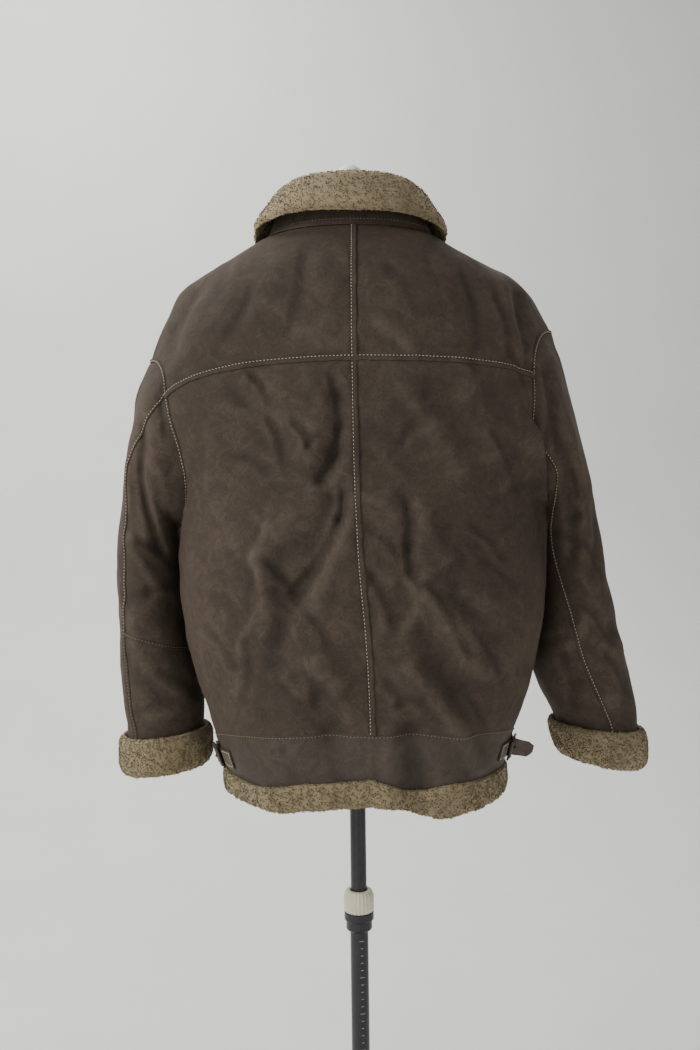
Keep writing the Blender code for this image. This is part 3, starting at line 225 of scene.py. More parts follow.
# Sleeve seams: the loop points they start from and their angle round the sleeve, where 0 is outward
# and 90 is the back
sleeveSeams = {
    leftSide: {
        "rear": 5,
        "front": 12,
        "angle": table(
            "share rear front", (0.0, 62, 205), (0.3, 50, 202), (0.55, 57, 203), (0.7, 46, 200),
            (1.0, 55, 203),
        ),
    },
    rightSide: {
        "rear": 7,
        "front": 15,
        "angle": table(
            "share rear front", (0.0, 128, 245), (0.45, 136, 243), (0.7, 106, 238), (0.84, 90, 232),
            (1.0, 74, 222),
        ),
    },
}
elbowSeamRow = 11
sleeveGirth = 0.44
sleeveLength = 0.54
sleeveFolds = {
    leftSide: table(
        "angle0 share0 angle1 share1 width depth",
        (70, 0.16, 118, 0.40, 0.018, -0.010),
        (52, 0.30, 70, 0.44, 0.015, 0.004),
        (60, 0.47, 110, 0.52, 0.016, 0.005),
        (100, 0.58, 60, 0.64, 0.016, -0.005),
        (60, 0.80, 110, 0.86, 0.016, -0.004),
        (300, 0.40, 260, 0.55, 0.020, -0.006),
        (270, 0.60, 320, 0.68, 0.020, 0.005),
        (310, 0.25, 280, 0.32, 0.020, 0.005),
    ),
    rightSide: table(
        "angle0 share0 angle1 share1 width depth",
        (62, 0.18, 75, 0.45, 0.016, 0.006),
        (92, 0.14, 100, 0.50, 0.018, -0.008),
        (48, 0.50, 80, 0.66, 0.016, -0.005),
        (70, 0.62, 112, 0.75, 0.016, 0.005),
        (40, 0.78, 70, 0.86, 0.016, 0.004),
        (280, 0.35, 300, 0.55, 0.020, -0.006),
        (250, 0.60, 300, 0.70, 0.020, 0.005),
        (320, 0.22, 290, 0.30, 0.020, 0.005),
    ),
}
cuffPile = 0.013
cuffHeight = 0.052
cuffBelowSleeve = 0.014
# Collar by angle round the neck from the centre back: how far its fold leans out from the neck
# seam, the fold's height, and the reach and height of the fall's under edge
collarSizes = table(
    "angle lean height reach edge",
    (0, -0.006, 0.073, 0.016, 0.0155),
    (35, -0.010, 0.071, 0.018, 0.0145),
    (60, -0.015, 0.064, 0.017, 0.0085),
    (90, -0.019, 0.054, 0.012, -0.002),
    (115, -0.017, 0.052, 0.020, -0.012),
    (145, -0.013, 0.048, 0.026, -0.026),
    (175, -0.012, 0.045, 0.024, -0.034),
)
collarPile = 0.010
collarFoot = 0.0065
collarGap = 0.0014
collarClear = 0.003
collarTilt = 0.003
standWall = 0.002
# Form by height: half width and half depth. Its shoulder runs parallel under the jacket's.
formGap = 0.0028
formSizes = table(
    "z width depth",
    (0.840, 0.146, 0.100),
    (0.850, 0.151, 0.105),
    (0.910, 0.152, 0.107),
    (1.000, 0.140, 0.100),
    (1.080, 0.134, 0.097),
    (1.180, 0.148, 0.106),
    (1.280, 0.170, 0.113),
    (1.350, 0.190, 0.104),
    (1.395, 0.200, 0.086),
    (1.425, 0.203, 0.060),
)
# Rows of the form's shoulder: half width, half depth, and how far below the straight line
formShoulder = table(
    "width depth below",
    (0.1960, 0.044, 0.007),
    (0.1800, 0.038, 0.001),
    (0.1600, 0.034, 0.0),
    (0.1340, 0.034, 0.0),
)
formNeck = table(
    "z width depth",
    (1.4935, 0.104, 0.040),
    (1.5020, 0.080, 0.044),
    (1.5150, 0.062, 0.050),
    (1.5300, 0.056, 0.054),
    (1.5450, 0.055, 0.055),
)
neckCapBase = 1.5453
upperTubeRadius = 0.011
lowerTubeRadius, lowerTubeBore = 0.0125, 0.0114
upperTubeFoot, lowerTubeTop, lowerTubeFoot = 0.250, 0.561, 0.0123
ringLow, ringHigh = 0.5634, 0.5934
ferruleLow = 0.537
baseRadius = 0.170
# Side adjusters: centre height on the band, and sizes of strap and buckle
adjusterZ = {leftSide: 0.795, rightSide: 0.800}
adjusterShift = 0.045
strapHalfWidth = 0.0115
strapWall = 0.0018
barWidth = 0.003
buckleHalfLength = 0.009

# Creases placed from the photo, in mm: two ends in the view from behind or in front, half
# width, depth and bow; those on the hidden sides are similar ones
creases = {
    backHalf: [
        (-77, 1252, -150, 1125, 14, 4, 8), (-140, 1289, -176, 1215, 9, 2.5, 4),
        (-176, 1211, -208, 1149, 10, -3, 4), (-39, 1182, -80, 1116, 10, 3, 4),
        (-80, 1116, -112, 1059, 9, 2.5, -3), (-65, 1125, -65, 1075, 6, -3, 2),
        (-65, 1075, -78, 1022, 7, -4, -3), (-78, 1022, -131, 968, 8, 4, 3),
        (-131, 968, -155, 919, 8, 3, 2), (-93, 1018, -139, 939, 7, -3, 3),
        (-21, 1034, -45, 981, 9, -3, 3), (-74, 1009, -65, 977, 6, 3, 2),
        (-79, 1034, -112, 1055, 6, 2, -3), (-69, 919, -101, 878, 8, 3, 3),
        (-101, 878, -126, 849, 8, 2.5, -2), (-52, 876, -77, 878, 7, -2, 5),
        (-40, 902, -56, 874, 8, -2.5, 3), (-36, 1232, -60, 1203, 13, 3, 5),
        (-60, 1203, -89, 1228, 9, -2, 4), (-153, 1092, -186, 1059, 8, -2, 3),
        (-204, 1207, -220, 1178, 9, 3, 3), (-187, 1145, -220, 1158, 8, 2, 3),
        (-120, 1018, -160, 993, 6, 1.5, 3), (-152, 960, -184, 902, 8, -2, 3),
        (-14, 1133, -47, 1112, 6, 1.5, 4), (-22, 1092, -54, 1059, 8, -2, 3),
        (-46, 1059, -75, 1042, 7, 2, 3), (-33, 993, -20, 944, 7, 2, 3),
        (-161, 1051, -202, 1018, 7, -1.5, 4), (-173, 1001, -222, 968, 7, 1.5, 3),
        (-159, 911, -204, 890, 8, 2, 4), (-142, 878, -158, 849, 7, -2, 2),
        (25, 1277, 18, 1224, 8, -3, 3), (20, 1219, 41, 1160, 8, -4.5, 4), (50, 1273, 26, 1228, 12, 3, 4),
        (71, 1224, 55, 1199, 7, -3, 3), (55, 1199, 43, 1211, 6, -2.5, 2),
        (132, 1269, 96, 1211, 12, 3.5, 6), (124, 1285, 108, 1261, 8, -3, 3),
        (149, 1244, 104, 1219, 8, 2, 4), (104, 1228, 88, 1182, 8, -2.5, 3),
        (15, 1137, 19, 1108, 6, -4.5, 2), (19, 1108, 70, 1026, 9, -4.5, 6),
        (27, 1149, 15, 1129, 7, 3, 2), (65, 1051, 12, 1067, 9, 2.5, 4), (106, 1116, 110, 1092, 6, 3, 2),
        (110, 1092, 121, 1059, 6, 3, -2), (114, 1100, 94, 1084, 6, 2, 2),
        (121, 1059, 111, 1034, 7, 3, 2), (111, 1034, 105, 989, 6, 3, -3),
        (104, 1051, 74, 1009, 8, -3, 3), (117, 1034, 128, 981, 7, 2.5, 3),
        (128, 981, 141, 944, 7, 2, -3), (143, 1063, 115, 1034, 6, 2, 3),
        (160, 1079, 127, 1067, 6, 1.5, 3), (99, 1001, 79, 972, 7, 2, 3), (79, 972, 87, 952, 7, 1.8, 2),
        (75, 927, 38, 931, 12, 3, 5), (38, 931, 30, 907, 8, 2, -3), (84, 907, 47, 861, 8, 3, 4),
        (47, 861, 31, 845, 7, 2, 2), (59, 919, 51, 869, 9, -2.5, 3), (137, 952, 141, 890, 8, -2.5, 4),
        (116, 968, 120, 927, 8, 2, 3), (161, 985, 137, 952, 8, 2, 3), (189, 1026, 148, 1009, 7, 1.5, 4),
        (186, 968, 153, 927, 8, -2, 3), (26, 894, 14, 861, 8, 2, 3), (16, 1034, 21, 981, 8, 2, 3),
        (89, 1158, 52, 1149, 7, 1.5, 4), (146, 1186, 113, 1170, 8, -2, 4),
        (183, 1215, 183, 1166, 8, 3, 4), (167, 1129, 118, 1108, 7, 1.5, 4),
        (171, 1116, 147, 1079, 7, 1.8, 3), (73, 1092, 36, 1100, 7, 1.5, 3), (54, 985, 34, 952, 8, -2, 3),
        (149, 1440, 168, 1372, 14, 3, 8), (62, 1446, 76, 1353, 12, -2, 5),
        (-111, 1440, -128, 1341, 12, 2.5, 6), (-147, 1415, -159, 1328, 10, -2, 4),
        (-39, 1346, -73, 1317, 7, 3, 4), (-190, 1390, -200, 1316, 10, -3.5, 5),
        (-206, 1314, -220, 1283, 8, -3, 3), (131, 1396, 156, 1347, 9, -2, 4),
        (-1, 1425, -26, 1384, 12, 2, 5), (-51, 1417, -83, 1372, 12, -1.8, 5),
        (106, 1376, 70, 1347, 9, 1.8, 4), (28, 1388, 41, 1339, 9, 1.5, 4),
        (236, 1135, 236, 1065, 12, 3, 0),
    ],
    frontHalf: [
        (60, 1240, 110, 1150, 12, 3, 5), (130, 1280, 160, 1180, 10, -2.5, 4),
        (45, 1120, 80, 1020, 9, -3, 4), (95, 1060, 140, 960, 10, 3, 5), (60, 980, 40, 900, 9, 2.5, -3),
        (110, 940, 150, 870, 9, -2.5, 3), (160, 1120, 190, 1020, 9, 2.5, 4),
        (170, 980, 150, 890, 8, -2, 3), (30, 1200, 60, 1130, 8, -2, 3), (80, 1180, 140, 1160, 8, 2, 3),
        (30, 930, 70, 860, 8, 2, 3), (90, 880, 120, 850, 7, -1.5, 2), (180, 1200, 210, 1120, 9, -2, 4),
        (-55, 1260, -100, 1170, 12, -2.5, 5), (-120, 1290, -160, 1190, 10, 3, 4),
        (-40, 1100, -85, 1010, 9, 3, 4), (-100, 1080, -150, 990, 10, -3, 5),
        (-50, 960, -80, 880, 9, -2.5, -3), (-120, 950, -140, 870, 9, 2, 3),
        (-170, 1100, -200, 1010, 9, 2.5, 4), (-190, 970, -160, 890, 8, -2, 3),
        (-35, 1180, -75, 1120, 8, 2, 3), (-90, 1150, -150, 1140, 8, -2, 3),
        (-60, 1020, -60, 940, 8, 2, 4), (-150, 1230, -200, 1150, 9, 2, 4),
        (-80, 1330, -130, 1290, 9, -2, 3), (75, 1340, 130, 1300, 9, 2, 3),
    ],
    (leftSide, backHalf): [
        (272, 1243, 255, 1182, 10, 3, 5), (250, 1261, 244, 1226, 8, -2.5, 2),
        (264, 1182, 245, 1137, 8, 3, 3), (278, 1111, 257, 1067, 8, 2, 3),
        (283, 1080, 248, 1049, 8, -2, 3), (288, 1023, 257, 1041, 7, 1.5, 3),
        (280, 1005, 244, 1023, 7, -1.5, 3), (258, 1014, 232, 979, 8, 2, 3),
        (285, 970, 258, 948, 7, 1.5, 3), (285, 904, 255, 882, 8, 2, 3), (259, 899, 224, 873, 8, -2, 3),
        (291, 851, 251, 860, 7, -2, 3), (246, 860, 219, 899, 8, 2, 3),
        (248, 1111, 235, 1067, 9, -2.5, 3), (269, 1137, 274, 1102, 7, 2, 2),
        (290, 1243, 295, 1186, 8, 2, 3), (295, 1155, 301, 1102, 7, -1.8, 3),
        (302, 970, 298, 922, 7, 1.8, 3),
    ],
    (rightSide, backHalf): [
        (-253, 1296, -256, 1217, 9, -5, 4), (-275, 1278, -287, 1217, 8, 3, 3),
        (-264, 1331, -275, 1278, 10, 3, 4), (-291, 1164, -299, 1111, 8, -3, 3),
        (-278, 1208, -295, 1164, 8, 2.5, 3), (-299, 1124, -321, 1080, 8, 2.5, 3),
        (-268, 1107, -308, 1120, 8, 2, 4), (-268, 1085, -298, 1071, 8, -2, 3),
        (-312, 1067, -333, 1027, 7, -2, 3), (-307, 1023, -337, 970, 8, 2.5, 3),
        (-310, 983, -341, 944, 8, -2.5, 3), (-319, 939, -358, 917, 8, 2, 3),
        (-340, 917, -362, 873, 8, -2.5, 3), (-252, 917, -278, 873, 8, 2, 3),
        (-279, 917, -296, 855, 9, -2, 3), (-258, 996, -279, 961, 7, 1.5, 3),
        (-262, 948, -297, 957, 7, 1.5, 3), (-309, 860, -348, 851, 8, 2, 3),
    ],
    (leftSide, frontHalf): [
        (300, 1230, 280, 1130, 9, -3, 4), (270, 1180, 310, 1100, 8, 2.5, 3),
        (265, 1040, 320, 1010, 8, -2.5, 3), (260, 1000, 315, 960, 8, 2, 3),
        (250, 940, 310, 930, 7, -2, 3), (230, 890, 300, 880, 8, 2, 3), (290, 1060, 310, 980, 8, 2, 3),
        (240, 860, 290, 830, 7, -1.5, 3),
    ],
    (rightSide, frontHalf): [
        (-300, 1260, -285, 1150, 9, 3, 4), (-275, 1180, -320, 1110, 8, -2.5, 3),
        (-280, 1060, -335, 1030, 8, 2.5, 3), (-275, 1010, -345, 970, 8, -2, 3),
        (-270, 950, -350, 930, 7, 2, 3), (-265, 900, -360, 880, 8, -2, 3),
        (-310, 1080, -330, 990, 8, -2, 3), (-290, 860, -370, 830, 7, 1.5, 3),
    ],
}


# Smooth value of one column of a table at a value of another column
def read(rows, key, name, at):
    x, y = rows[key], rows[name]
    slope = np.gradient(y, x)
    i = np.clip(np.searchsorted(x, at) - 1, 0, len(x) - 2)
    span = x[i + 1] - x[i]
    u = np.clip((at - x[i]) / span, 0.0, 1.0)
    rise = (2 * u**3 - 3 * u**2 + 1) * y[i] + (3 * u**2 - 2 * u**3) * y[i + 1]
    return rise + (u**3 - 2 * u**2 + u) * span * slope[i] + (u**3 - u**2) * span * slope[i + 1]


# Rises smoothly from 0 to 1
def ease(value):
    u = np.clip(value, 0.0, 1.0)
    return u * u * (3 - 2 * u)


# Points at even steps along a line
def even(points, count):
    steps = np.linalg.norm(np.diff(points, axis=0), axis=1)
    along = np.concatenate([[0.0], np.cumsum(steps)])
    at = np.linspace(0.0, along[-1], count + 1)
    return np.stack([np.interp(at, along, points[:, k]) for k in range(3)], axis=1)


def unit(vectors):
    return vectors / np.maximum(np.linalg.norm(vectors, axis=-1, keepdims=True), 1e-12)


# Depth of the large folds at each point of a grid
def foldDepth(folds, across, along, first, second):
    total = np.zeros(across.shape)
    for i in range(len(folds["width"])):
        x0, x1 = folds[first + "0"][i], folds[first + "1"][i]
        z0, z1 = folds[second + "0"][i], folds[second + "1"][i]
        run = np.hypot(x1 - x0, z1 - z0)
        t = ((across - x0) * (x1 - x0) + (along - z0) * (z1 - z0)) / run**2
        off = np.hypot(across - x0 - np.clip(t, 0, 1) * (x1 - x0), along - z0 - np.clip(t, 0, 1) * (z1 - z0))
        total += folds["depth"][i] * np.exp(-((off / folds["width"][i]) ** 2))
    return total


def normals(grid, sign):
    total = np.zeros(grid.shape)
    a, b = grid[:-1, :-1], grid[:-1, 1:]
    c, d = grid[1:, 1:], grid[1:, :-1]
    faces = np.cross(c - a, d - b) * sign
    total[:-1, :-1] += faces
    total[:-1, 1:] += faces
    total[1:, 1:] += faces
    total[1:, :-1] += faces
    return total


# Point of the neck seam at an angle from the centre back
def neckPoint(angle):
    turn = math.radians(angle)
    reach = neckBack if math.cos(turn) > 0 else neckFront
    drop = neckFrontDrop * max(0.0, -math.cos(turn)) ** 2
    return np.array([neckHalfWidth * math.sin(turn), reach * math.cos(turn), neckZ - drop])


# Ends of one row of a body half, at its centre and at its side seam or armhole
def rowEnds(side, half, row):
    if row <= bandRows:
        share = row / bandRows
        middleZ = hemZ + (bandZ - hemZ) * share
        edgeZ = hemZ + (bandSideZ - hemZ) * share
    else:
        share = (row - bandRows) / (yokeRow - bandRows)
        middleZ = bandZ + (yokeZ - bandZ) * share
        edgeZ = bandSideZ + (armholeSizes[side]["low"][1] - bandSideZ) * (row - bandRows) / sideRows
    depth = read(bodySizes, "z", "back" if half == backHalf else "front", middleZ)
    middleX = read(centreBack, "z", "x", middleZ) if half == backHalf else halfZip * side
    middle = np.array([middleX, half * depth, middleZ])
    if row <= armpitRow:
        return middle, np.array([side * read(bodySizes, "z", sideNames[side], edgeZ), 0.0, edgeZ]), 90.0
    hole = armholeSizes[side]
    up = (row - armpitRow) / armRows
    centreZ = (hole["low"][1] + hole["high"][1]) / 2
    reach = (hole["high"][1] - hole["low"][1]) / 2
    last = math.asin((hole["yoke"][1] - centreZ) / reach)
    turn = -math.pi / 2 + (last + math.pi / 2) * up
    sag = math.sin(math.pi * up) ** 1.8 * ((hole["low"][0] + hole["yoke"][0]) / 2 - armholeWaist[side])
    x = hole["low"][0] + (hole["yoke"][0] - hole["low"][0]) * up - sag
    edge = np.array(
        [
            side * x, half * hole["back" if half == backHalf else "front"] * math.cos(turn),
            centreZ + reach * math.sin(turn),
        ]
    )
    return middle, edge, 90.0 - 28.0 * up


# One row of a body half, as the solids have it
def section(side, half, row):
    middle, edge, turn = rowEnds(side, half, row)
    a = np.radians(np.linspace(0.0, turn, 60))
    across = (np.sin(a) / math.sin(a[-1])) ** boxiness
    low = max(math.cos(a[-1]), 0.0) ** boxiness
    inward = (np.maximum(np.cos(a), 0.0) ** boxiness - low) / (1.0 - low)
    line = np.stack(
        [
            middle[0] + (edge[0] - middle[0]) * across,
            edge[1] + (middle[1] - edge[1]) * inward,
            middle[2] + (edge[2] - middle[2]) * np.linspace(0.0, 1.0, 60) ** 2,
        ],
        axis=1,
    )
    return even(line, columnCount)


# Neck seam and shoulder seam of a body half
def topLine(side, half):
    start = 0.0 if half == backHalf else 180.0 - math.degrees(math.asin(halfZip / neckHalfWidth))
    neck = np.array([neckPoint(side * a) for a in np.linspace(start, 90.0, 40)])
    neck = even(neck, neckColumns)
    x = np.concatenate([[neckHalfWidth], np.linspace(0.214, ridgeLine[side]["x"][-1], 30)])
    z = np.concatenate([[neckZ], read(ridgeLine[side], "x", "z", x[1:])])
    shoulder = even(np.stack([side * x, 0 * x, z], axis=1), shoulderColumns)
    return np.concatenate([neck[:-1], shoulder])


# Angle round the sleeve of each of its columns, row by row
def seamAngles(side):
    seams = sleeveSeams[side]
    angles = []
    for row in range(sleeveRows + 1):
        share = min(row, sleeveRows - 1) / sleeveRows
        rear = read(seams["angle"], "share", "rear", share)
        front = read(seams["angle"], "share", "front", share)
        knots = [seams["front"] - loopCount, seams["rear"], seams["front"], seams["rear"] + loopCount]
        turns = [front - 360, rear, front, rear + 360]
        angles.append(np.interp(np.arange(loopCount), knots, turns))
    return np.radians(np.array(angles))


def sleeveRing(side, share, angles):
    rows = sleeveSizes[side]
    ox, oz = read(rows, "share", "outer_x", share), read(rows, "share", "outer_z", share)
    ix, iz = read(rows, "share", "inner_x", share), read(rows, "share", "inner_z", share)
    depth = read(rows, "share", "depth", share)
    middle = np.array([side * (ox + ix) / 2, read(rows, "share", "y", share), (oz + iz) / 2])
    out = np.array([side * (ox - ix) / 2, 0.0, (oz - iz) / 2])
    return middle + np.cos(angles)[:, None] * out + np.sin(angles)[:, None] * np.array([0.0, depth, 0.0])


# Normals that stay smooth where grids meet at a seam
def sharedNormals(grids):
    sums = {}
    keys = {}
    raw = {}
    for name, (grid, sign) in grids.items():
        raw[name] = normals(grid, sign)
        keys[name] = np.round(grid * 1e6).astype(np.int64)
        for key, value in zip(keys[name].reshape(-1, 3), raw[name].reshape(-1, 3)):
            sums[tuple(key)] = sums.get(tuple(key), 0) + value
    result = {}
    for name in grids:
        flat = np.array([sums[tuple(key)] for key in keys[name].reshape(-1, 3)])
        result[name] = unit(flat).reshape(raw[name].shape)
    return result


# Grid pulled back from its seams
def inset(grid, distance):
    moved = grid.copy()
    moved[0] += unit(grid[1] - grid[0]) * distance
    moved[-1] += unit(grid[-2] - grid[-1]) * distance
    moved[:, 0] += unit(grid[:, 1] - grid[:, 0]) * distance
    moved[:, -1] += unit(grid[:, -2] - grid[:, -1]) * distance
    return moved


# Points of the fine surface for each step of the solids' grids
detail = 7


# Smooth points between the solids' points
def spline(points, times, wrap=False):
    if wrap:
        padded = np.concatenate([points[-2:-1], points, points[1:2]])
    else:
        padded = np.concatenate([[2 * points[0] - points[1]], points, [2 * points[-1] - points[-2]]])
    a, b, c, d = padded[:-3], padded[1:-2], padded[2:-1], padded[3:]
    square, cube = 2 * a - 5 * b + 4 * c - d, 3 * b - a - 3 * c + d
    parts = []
    for k in range(times):
        t = k / times
        parts.append(0.5 * (2 * b + (c - a) * t + square * t**2 + cube * t**3))
    fine = np.stack(parts, axis=1).reshape(-1, *points.shape[1:])
    return np.concatenate([fine, points[-1:]])


def fineGrid(grid, times=None, wrap=False):
    times = times or detail
    rows = spline(grid, times)
    return spline(rows.swapaxes(0, 1), times, wrap).swapaxes(0, 1)


# Ridges are drawn wider and lower than the photo's, valleys a little narrower
creaseLook = {"ridge": (1.4, 0.75), "valley": (0.9, 1.0), "depth": 1.3, "skew": 0.35, "fade": 1.5}


# Depth of the small creases at each point of a grid
def creaseDepth(rows, across, along):
    total = np.zeros(across.shape)
    for x0, z0, x1, z1, width, depth, bow in np.array(rows, float) / 1000:
        wider, deeper = creaseLook["ridge" if depth > 0 else "valley"]
        width, depth = width * wider, depth * deeper
        run = math.hypot(x1 - x0, z1 - z0)
        dx, dz = (x1 - x0) / run, (z1 - z0) / run
        t = ((across - x0) * dx + (along - z0) * dz) / run
        off = (across - x0) * dz - (along - z0) * dx - bow * (1 - (2 * np.clip(t, 0, 1) - 1) ** 2)
        past = np.maximum(np.maximum(-t, t - 1), 0) * run
        wide = width * (1 + creaseLook["skew"] * np.tanh(off / width)) * (0.8 + 0.4 * np.clip(t, 0, 1))
        faded = (past / (creaseLook["fade"] * width)) ** 2
        total += creaseLook["depth"] * depth * np.exp(-((off / wide) ** 2) - faded)
    return total


def unevenness(points, size, amount):
    flat = points.reshape(-1, 3)
    values = np.array([noise.noise(Vector(p) / size) for p in flat])
    return values.reshape(points.shape[:-1]) * amount


# The tuck of the right back over its armhole: its middle and half width as shares across the
# back, how far it is pushed, and the share of that push by height
armholeTuck = {
    "middle": 0.925,
    "width": 0.055,
    "push": (-0.020, 0.010, 0.0),
    "share": [(0.98, 0.0), (1.06, 0.45), (1.13, 0.85), (1.19, 1.0), (1.215, 0.8), (1.25, 0.0)],
}
# Waves of the cloth between its creases: their size and their height
bodyWaves = [(0.06, 0.0030), (0.024, 0.0011), (0.011, 0.0003)]
sleeveWaves = [(0.05, 0.0028), (0.022, 0.0010), (0.011, 0.0003)]
# A crest this much above the cloth round it is painted fully light, partly as rubbed nap and partly as
# painted highlight; a valley this deep is painted fully dark as painted shade
rubbedAndLitHeight = 0.0011


# How far each point stands out from the cloth round it, for the colour: crests lighter as rubbed nap and
# painted highlight, valleys darker as painted shade
def crestOf(height):
    reach = max(detail // 3, 1)
    padded = np.pad(height, reach, mode="edge")
    inner = slice(reach, -reach)
    above, below = padded[2 * reach :, inner], padded[: -2 * reach, inner]
    right, left = padded[inner, 2 * reach :], padded[inner, : -2 * reach]
    around = above + below + right + left
    crest = np.pad((height - around / 4) / rubbedAndLitHeight, 1, mode="edge")
    soft = crest[1:-1] * 2 + crest[2:] + crest[:-2]
    return np.clip((soft[:, 1:-1] * 2 + soft[:, 2:] + soft[:, :-2]) / 16 * 1.3, -1.0, 1.0)


def bulge(across, z):
    off = (across - armholeTuck["middle"]) / armholeTuck["width"]
    near = np.exp(-(off**2)) * ease((1 - across) / 0.035)
    wide = np.interp(z, *zip(*armholeTuck["share"]))
    return (near * ease(wide))[..., None] * np.array(armholeTuck["push"])


def quadrant(side, half):
    grid = np.zeros((topRow + 1, columnCount + 1, 3))
    for row in range(yokeRow + 1):
        grid[row] = section(side, half, row)
    low, high = grid[yokeRow].copy(), topLine(side, half)
    across = np.linspace(0.0, 1.0, columnCount + 1)
    last = np.radians(52.0 + 38.0 * ease(across * columnCount / neckColumns))
    for k in range(1, yokeRows + 1):
        a = last * k / yokeRows
        level = ((1 - np.cos(a)) / (1 - np.cos(last)))[:, None]
        rise = (np.sin(a) / np.sin(last))[:, None]
        grid[yokeRow + k] = low + (high - low) * np.concatenate([level, level, rise], axis=1)
    if half == backHalf:
        lift = read(hemWave, "x", "top", grid[0, :, 0]) - hemZ
        for row in range(bandRows):
            grid[row, :, 2] += lift * (1 - row / bandRows)
    return grid


def bodyGrids():
    plain = {}
    for side in (leftSide, rightSide):
        for half in (backHalf, frontHalf):
            plain[(side, half)] = (fineGrid(quadrant(side, half)), -side * half)
        back, front = plain[(side, backHalf)][0], plain[(side, frontHalf)][0]
        below, shoulder = armpitRow * detail + 1, neckColumns * detail
        back[:below, -1] = front[:below, -1] = (back[:below, -1] + front[:below, -1]) / 2
        back[-1, shoulder:] = front[-1, shoulder:] = (back[-1, shoulder:] + front[-1, shoulder:]) / 2
    outward = sharedNormals(plain)
    grids = {}
    wearLightAndShade = {}
    for key, (grid, sign) in plain.items():
        half = key[1]
        across = np.linspace(0.0, 1.0, grid.shape[1])[None, :]
        up = np.arange(grid.shape[0])[:, None] / detail
        window = ease((1 - across) / 0.14) * ease((topRow - up) / 2.2)
        soft = ease((1 - across) / 0.05) * ease((topRow - up) / 0.8)
        if half == frontHalf:
            window = window * ease(across / 0.1)
            soft = soft * ease(across / 0.1)
        large = foldDepth(largeFolds[half], grid[..., 0], grid[..., 2], "x", "z") * window
        small = creaseDepth(creases[half], grid[..., 0], grid[..., 2]) * soft
        # Painted highlight on crests, partly rubbed nap, and painted shade in valleys
        wearLightAndShade[key] = crestOf(large + small)
        small += sum(unevenness(grid, *wave) for wave in bodyWaves) * soft
        moved = grid + outward[key] * (large + small)[..., None]
        if key == (rightSide, backHalf):
            moved = moved + bulge(across, grid[..., 2])
        grids[key] = (moved, sign)
    return grids, wearLightAndShade


def sleeveGrid(side, grids):
    edges = []
    for half in (backHalf, frontHalf):
        edges.append(grids[(side, half)][0][:, -1])
    coarse = [edge[armpitRow * detail :: detail] for edge in edges]
    ring = np.concatenate([coarse[0][::-1], coarse[1][1:-1]])
    rows = sleeveSizes[side]
    outer = np.array([side * rows["outer_x"][0], rows["outer_z"][0]])
    inner = np.array([side * rows["inner_x"][0], rows["inner_z"][0]])
    half, middle = (outer - inner) / 2, (outer + inner) / 2
    along = ((ring[:, [0, 2]] - middle) @ half) / (half @ half)
    start = np.arctan2(ring[:, 1] / rows["depth"][0], along)
    start = np.where(np.arange(loopCount) > loopCount // 2, start + 2 * np.pi, start)
    start[loopCount // 2] = np.pi
    wanted = seamAngles(side)
    grid = np.zeros((sleeveRows + 1, loopCount + 1, 3))
    turns = np.zeros((sleeveRows + 1, loopCount + 1))
    apart = ring - sleeveRing(side, 0.0, start)
    for row in range(sleeveRows + 1):
        share = row / sleeveRows
        settle = ease(share / 0.35)
        angles = start * (1 - settle) + wanted[row] * settle
        settled = ease(share / (0.23 + 0.17 * np.cos(angles)))[:, None]
        grid[row, :-1] = sleeveRing(side, share, angles) + apart * (1 - settled)
        turns[row, :-1] = angles
        turns[row, -1] = angles[0] + 2 * np.pi
    grid[:, -1] = grid[:, 0]
    grid = fineGrid(grid, wrap=True)
    turns = spline(spline(turns, detail).T, detail).T
    shares = np.linspace(0.0, 1.0, grid.shape[0])[:, None]
    fine = [edge[armpitRow * detail :] for edge in edges]
    first = np.concatenate([fine[0][::-1], fine[1][1:]])
    grid = grid + (first - grid[0]) * (1 - ease(shares / 0.12))[..., None]
    window = ease(shares / 0.12) * ease((0.93 - shares) / 0.08)
    folds = dict(sleeveFolds[side])
    for end in "01":
        folds["arc" + end] = folds["angle" + end] / 360 * sleeveGirth
        folds["way" + end] = folds["share" + end] * sleeveLength
    arc = (turns % (2 * np.pi)) / (2 * np.pi) * sleeveGirth
    large = foldDepth(folds, arc, shares * sleeveLength + 0 * arc, "arc", "way") * window
    aside = grid[..., 1] - grid[:, :-1, 1].mean(axis=1, keepdims=True)
    facing = np.where(aside > 0, 1.0, 0.0)
    deep = ease(np.abs(aside) / 0.03)
    small = creaseDepth(creases[(side, backHalf)], grid[..., 0], grid[..., 2]) * facing * deep
    small += creaseDepth(creases[(side, frontHalf)], grid[..., 0], grid[..., 2]) * (1 - facing) * deep
    soft = ease(shares / 0.04) * ease((1.0 - shares) / 0.05)
    small = small * soft
    # Painted highlight on crests, partly rubbed nap, and painted shade in valleys
    rubbedAndLit = crestOf(large + small)
    small += sum(unevenness(grid, *wave) for wave in sleeveWaves) * soft
    centre = grid[:, :-1].mean(axis=1, keepdims=True)
    moved = grid + unit(grid - centre) * (large + small)[..., None]
    moved[:, -1] = moved[:, 0]
    return moved, rubbedAndLit


def sample(grid, rows, cols):
    r = np.clip(np.asarray(rows, float), 0, grid.shape[0] - 1.0001)
    c = np.clip(np.asarray(cols, float), 0, grid.shape[1] - 1.0001)
    i, j = r.astype(int), c.astype(int)
    u, v = (r - i)[..., None], (c - j)[..., None]
    top = grid[i, j] * (1 - v) + grid[i, j + 1] * v
    return top * (1 - u) + (grid[i + 1, j] * (1 - v) + grid[i + 1, j + 1] * v) * u


